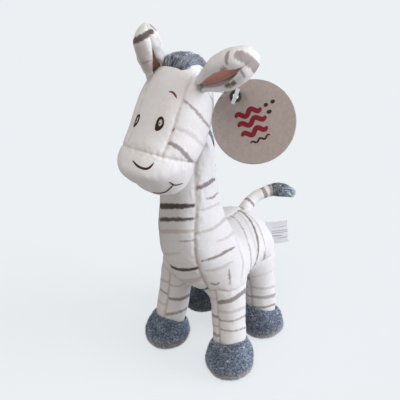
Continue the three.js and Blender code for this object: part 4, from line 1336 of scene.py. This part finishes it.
tuft_path = path[39:]
along = np.linspace(0, 1, len(tuft_path))
tuft_radii = np.interp(along, [0, 0.15, 0.4, 0.7, 0.9, 1], [4.2, 5.4, 6.0, 5.6, 4.2, 1.5])
tuft = joined("tail_tuft_core", [tube_along(tuft_path, tuft_radii, 24)])
dressed(tuft, BACKING, "tail_body", ["tail_tuft"])
place, normal = sampled(tuft.data, 8000)
nearest = ((place[:, None] - tuft_path[None]) ** 2).sum(-1).argmin(1)
comb = unit(np.gradient(tuft_path, axis=0))[nearest]
clump = field(place, 3, 63)[:, None]
direction = unit(normal * (0.6 + 0.4 * clump) + comb + 0.2 * rng.normal(size=place.shape))
bend = unit(comb - normal * 0.15 + 0.2 * rng.normal(size=place.shape))
length = rng.uniform(4, 7, len(place)) * np.interp(along[nearest], [0, 0.7, 1], [1, 1, 0.8])
# Painted light: strands that face upwards are paler
painted_top_light = 1 + 0.5 * smooth(0.2, 1, normal[:, 2])
colour = 1.25 * pile_colours(place, [0.16, 0.34, 0.32, 0.18]) * painted_top_light[:, None]
strands("tail_tuft_pile", place, direction, bend, length, 0.2, colour, body="tail_body")
# White pile at the tube's end, over the root of the tuft
place, normal = sampled(tail.data, 1500, lambda c: np.linalg.norm(c - path[40], axis=1) < 5.6)
direction = unit(normal + 0.7 * unit(path[41] - path[39]) + 0.25 * rng.normal(size=place.shape))
colour = WHITE * rng.uniform(0.85, 1.1, (len(place), 1))
length = rng.uniform(1.2, 2.8, len(place))
strands("tail_collar_pile", place, direction, direction, length, 0.16, colour, "tail_body")

# Hang tag, fastener and care label
def cad_points(name):
    o = frame["nodes"][name]
    return np.array([o.matrix_world @ v.co for v in o.data.vertices]) / MM - SHIFT


card = cad_points("tag_card")
centre = (card.max(0) + card.min(0)) / 2
turned = unit(np.linalg.svd(card - card.mean(0))[2][2])
facing = turned * np.sign(turned @ (EYE - centre))
upward = unit(Z - facing * (Z @ facing))
level = np.cross(upward, facing)
radius = np.abs((card - centre) @ level).max()
half = np.abs((card - centre) @ facing).max()
ring_points = cad_points("tag_eyelet")
hole = (ring_points.max(0) + ring_points.min(0)) / 2 - centre
hole = np.array([hole @ level, hole @ upward])
ring_radius = np.linalg.norm((ring_points - centre) @ np.stack([level, upward], 1) - hole, axis=1).max()


def on_card(u, v, rise):
    """Points at a place in the card's plane and a height over its middle plane."""
    u, v, rise = (np.asarray(k, float)[..., None] for k in (u, v, rise))
    return centre + level * u + upward * v + facing * rise


def band(grid):
    """Faces of a grid of rows, closed around each row and from the last row to the first."""
    rows, cols = grid.shape[:2]
    i, j = np.indices((rows, cols)).reshape(2, -1)
    below, beside = (i + 1) % rows * cols, (j + 1) % cols
    return np.stack([i * cols + j, below + j, below + beside, i * cols + beside], 1).tolist()


# The card: rows from the hole's edge to the rim, as share of the way, inset and height, and the same behind
BORE = 2.0
turn = around(144)
ray = np.stack([np.cos(turn), np.sin(turn)])
along = hole @ ray
reach = -along + np.sqrt(along**2 - hole @ hole + radius**2)
profile = [(share, 0, half) for share in (0, 0.2, 0.6, 0.97)] + [(1, 0.3, half), (1, 0, half - 0.15)]
profile += [(share, inset, -rise) for share, inset, rise in profile[::-1]]
grid = []
for share, inset, rise in profile:
    r = BORE + (reach - BORE) * share - inset
    grid.append(on_card(hole[0] + r * ray[0], hole[1] + r * ray[1], rise))
grid = np.array(grid)
disc = new_object("tag_disc", grid, band(grid))
shades = np.tile([0.43, 0.36, 0.33], (*grid.shape[:2], 1))
shades[5:7] = [0.82, 0.81, 0.8]
tinted(disc, shades.reshape(-1, 3))
board = material("tag_board")
flecks = board.spread(board.noise(1300, 2, 0.7), 0.3, 0.38, 0.62, 1.0)
fibres = board.spread(board.noise(420, 3), 0.3, 0.7, 0.94, 1.06)
board.set(Base_Color=board.times(board.print(), board.math("MULTIPLY", flecks, fibres)))
board.bump(board.noise(900, 2), 0.15, 0.0002)
board.set(Roughness=0.8, Specular_IOR_Level=0.2)
dressed(disc, board.owner, "hang_tag", ["tag_card"])

ink = material("ink")
ink.set(Base_Color=ink.times(ink.print(), ink.spread(ink.noise(1500, 2), 0.3, 0.7, 0.82, 1.2)))
ink.set(Roughness=0.6, Specular_IOR_Level=0.3)
RED = (0.23, 0.01, 0.022)
UMBER = (0.035, 0.02, 0.018)


def printed(name, waves, width, colour, blunt=8):
    """Bands of ink on the card, a hair proud of it, along waves."""
    grids = []
    for line in (wave(*values) for values in waves):
        way = unit(np.gradient(line, axis=0))
        side = np.stack([-way[:, 1], way[:, 0]], 1)
        t = np.linspace(-1, 1, len(line))
        w = side * (width / 2 * np.sqrt(np.maximum(0.003, 1 - np.abs(t) ** blunt)))[:, None]
        corners = [(line + w, 0.07), (line - w, 0.07), (line - w, -0.05), (line + w, -0.05)]
        grids.append(np.stack([on_card(*c.T, half + h) for c, h in corners], 1))
    o = joined(name, grids)
    o.data.shade_flat()
    tinted(o, np.tile(colour, (len(o.data.vertices), 1)))
    dressed(o, ink.owner, "hang_tag")


def wave(u0, v0, length, swing, bends, lean=0.45):
    """A wavy line in the card's plane from a start, or a straight one with no swing."""
    t = np.linspace(0, 1, 60)
    u, v = t * length, swing * np.sin(t * bends * math.pi)
    c, s = math.cos(lean), math.sin(lean)
    return np.stack([u0 + u * c - v * s, v0 + u * s + v * c], 1)


printed("tag_waves", [(-11.5, 2, 17, 1.5, 4), (-9.5, -3.6, 18.5, 1.5, 4), (-7, -9.4, 17, 1.5, 4)], 3.1, RED)
printed("tag_dots", [(5.5, 10.2, 3, 0, 1), (9.6, 12.4, 3, 0, 1), (7.6, 6, 3.4, 0, 1)], 2.4, UMBER, blunt=2)
printed("tag_thin_wave", [(-1.5, -13.5, 13.5, 0.8, 5)], 1.2, UMBER)

# The eyelet is a rounded ring that grips both faces of the card
INNER = 1.75
t = around(16)
middle, wide = (ring_radius + INNER) / 2, (ring_radius - INNER) / 2
r, h = (middle + wide * np.cos(t))[:, None], ((half + 0.75) * np.sin(t))[:, None]
grid = on_card(hole[0] + r * ray[0, ::2], hole[1] + r * ray[1, ::2], h)
eyelet = new_object("tag_ring", grid, [f[::-1] for f in band(grid)])
lacquer = material("eyelet_lacquer")
lacquer.set(Base_Color=lacquer.mix(lacquer.noise(600, 3), (0.035, 0.022, 0.02, 1), (0.075, 0.05, 0.045, 1)))
lacquer.set(Roughness=0.35, Specular_IOR_Level=0.5)
dressed(eyelet, lacquer.owner, "hang_tag", ["tag_eyelet"])

plastic = material("fastener_plastic")
plastic.set(Base_Color=plastic.mix(plastic.noise(300, 2), (0.8, 0.84, 0.88, 1), (0.88, 0.9, 0.93, 1)))
plastic.bump(plastic.noise(700, 2), 0.05, 0.0002)
plastic.set(Roughness=0.32, Specular_IOR_Level=0.5)
fastener = frame["nodes"]["tag_fastener"]
fastener.data.materials.clear()
fastener.data.materials.append(plastic.owner)

# The care label is a thin tape that stands out of the rump seam, with plain lines on it
hinge = JOINTS["care_label_flap"] - SHIFT
turn_by, tilt_by = math.radians(33), math.radians(8)
heading = np.array([math.cos(turn_by), math.sin(turn_by), 0])
out = heading * math.cos(tilt_by) + Z * math.sin(tilt_by)
rise = Z * math.cos(tilt_by) - heading * math.sin(tilt_by)
flat_side = np.cross(out, rise)
HALF_HEIGHT, HALF_THICKNESS, BOWED_OVER = 11.2, 0.16, 19
u, v = np.meshgrid(np.linspace(-0.8, 17.8, 90), np.linspace(-HALF_HEIGHT, HALF_HEIGHT, 100), indexing="ij")
along = u / BOWED_OVER
bow = 0.9 * np.sin(math.pi * along) + 0.5 * (v / HALF_HEIGHT) ** 2 * along + 0.12 * np.sin(v * 1.3) * along
sheet = hinge - Z * 2.4 + out * u[..., None] + rise * v[..., None] + flat_side * bow[..., None]
sheet = np.stack([sheet + flat_side * HALF_THICKNESS, sheet - flat_side * HALF_THICKNESS])
label = new_object("care_label_tape", sheet, [f[::-1] for f in sheet_faces(*u.shape)])
tint = np.tile([0.9, 0.92, 0.96], (2, u.size, 1))
for height, start, stop, thick in (
    (5.4, 5, 17, 0.3),
    (1.4, 4, 17.4, 0.3),
    (-0.6, 4, 17.4, 0.3),
    (-3.6, 4, 12, 0.45),
    (-6.2, 9, 17, 0.3),
):
    drawn = (np.abs(v - height) < thick) * (u > start) * (u < stop)
    tint[0, drawn.ravel()] = [0.42, 0.43, 0.46]
tinted(label, tint.reshape(-1, 3))
tape = material("label_tape")
weave = tape.add("TexWave", Scale=1500.0, Distortion=0.4, Vector=tape.space()).outputs["Fac"]
tape.set(Base_Color=tape.times(tape.print(), tape.spread(weave, 0, 1, 0.95, 1.02)), Roughness=0.55)
tape.bump(weave, 0.15, 0.0001)
tape.set(Sheen_Weight=0.1, Specular_IOR_Level=0.3)
dressed(label, tape.owner, "care_label_body", ["care_label"])

# What the camera sees of the floor is pale and keeps its shadow; the floor sends less light back up
floor = added("floor", bpy.data.meshes.new("floor"))
floor.data.from_pydata([(-4, -4, 0), (4, -4, 0), (4, 4, 0), (-4, 4, 0)], [], [(0, 1, 2, 3)])
ground = material("floor")
grain = ground.noise(3, 2)
seen = ground.on_rays("Camera", "Glossy", "Transmission")
pale = ground.mix(grain, (0.862, 0.9, 0.925, 1), (0.868, 0.906, 0.931, 1))
ground.set(Base_Color=ground.mix(seen, (0.5, 0.485, 0.47, 1), pale), Roughness=0.95, Specular_IOR_Level=0.0)
glow = ground.add("Emission", Color=ground.mix(grain, (0.838, 0.873, 0.9, 1), (0.844, 0.879, 0.905, 1)))
ground.cover(glow, ground.math("MULTIPLY", seen, 0.74))
floor.data.materials.append(ground.owner)

# What is seen behind the floor's edge is as pale as the floor
world = bpy.data.worlds.new("studio")
bpy.context.scene.world = world
sky = Nodes(world, "Background", "World Output")
sky.set(Color=(1.0, 0.96, 0.925, 1), Strength=0.325)
behind = sky.add("Background", Color=(0.842, 0.876, 0.902, 1))
sky.cover(behind, sky.on_rays("Camera", "Transmission"))

# Two soft lamps: at a power of 1, a surface turned to the lamp shows just its own colour
FRONT = -unit(AHEAD * [1, 1, 0])
for name, toward, power, colour in (
    ("key", RIGHT + FRONT * 0.15 + Z * 0.3, 0.77, (0.905, 0.965, 1.09)),
    ("top", FRONT * 0.35 + Z, 0.46, (1.0, 0.975, 0.95)),
):
    sun = added(name, bpy.data.lights.new(name, "SUN"))
    sun.data.energy = power * math.pi
    sun.data.color = colour
    sun.data.angle = math.radians(38)
    sun.rotation_euler = Vector(unit(toward)).to_track_quat("Z", "Y").to_euler()

bpy.context.scene.view_settings.view_transform = "Standard"
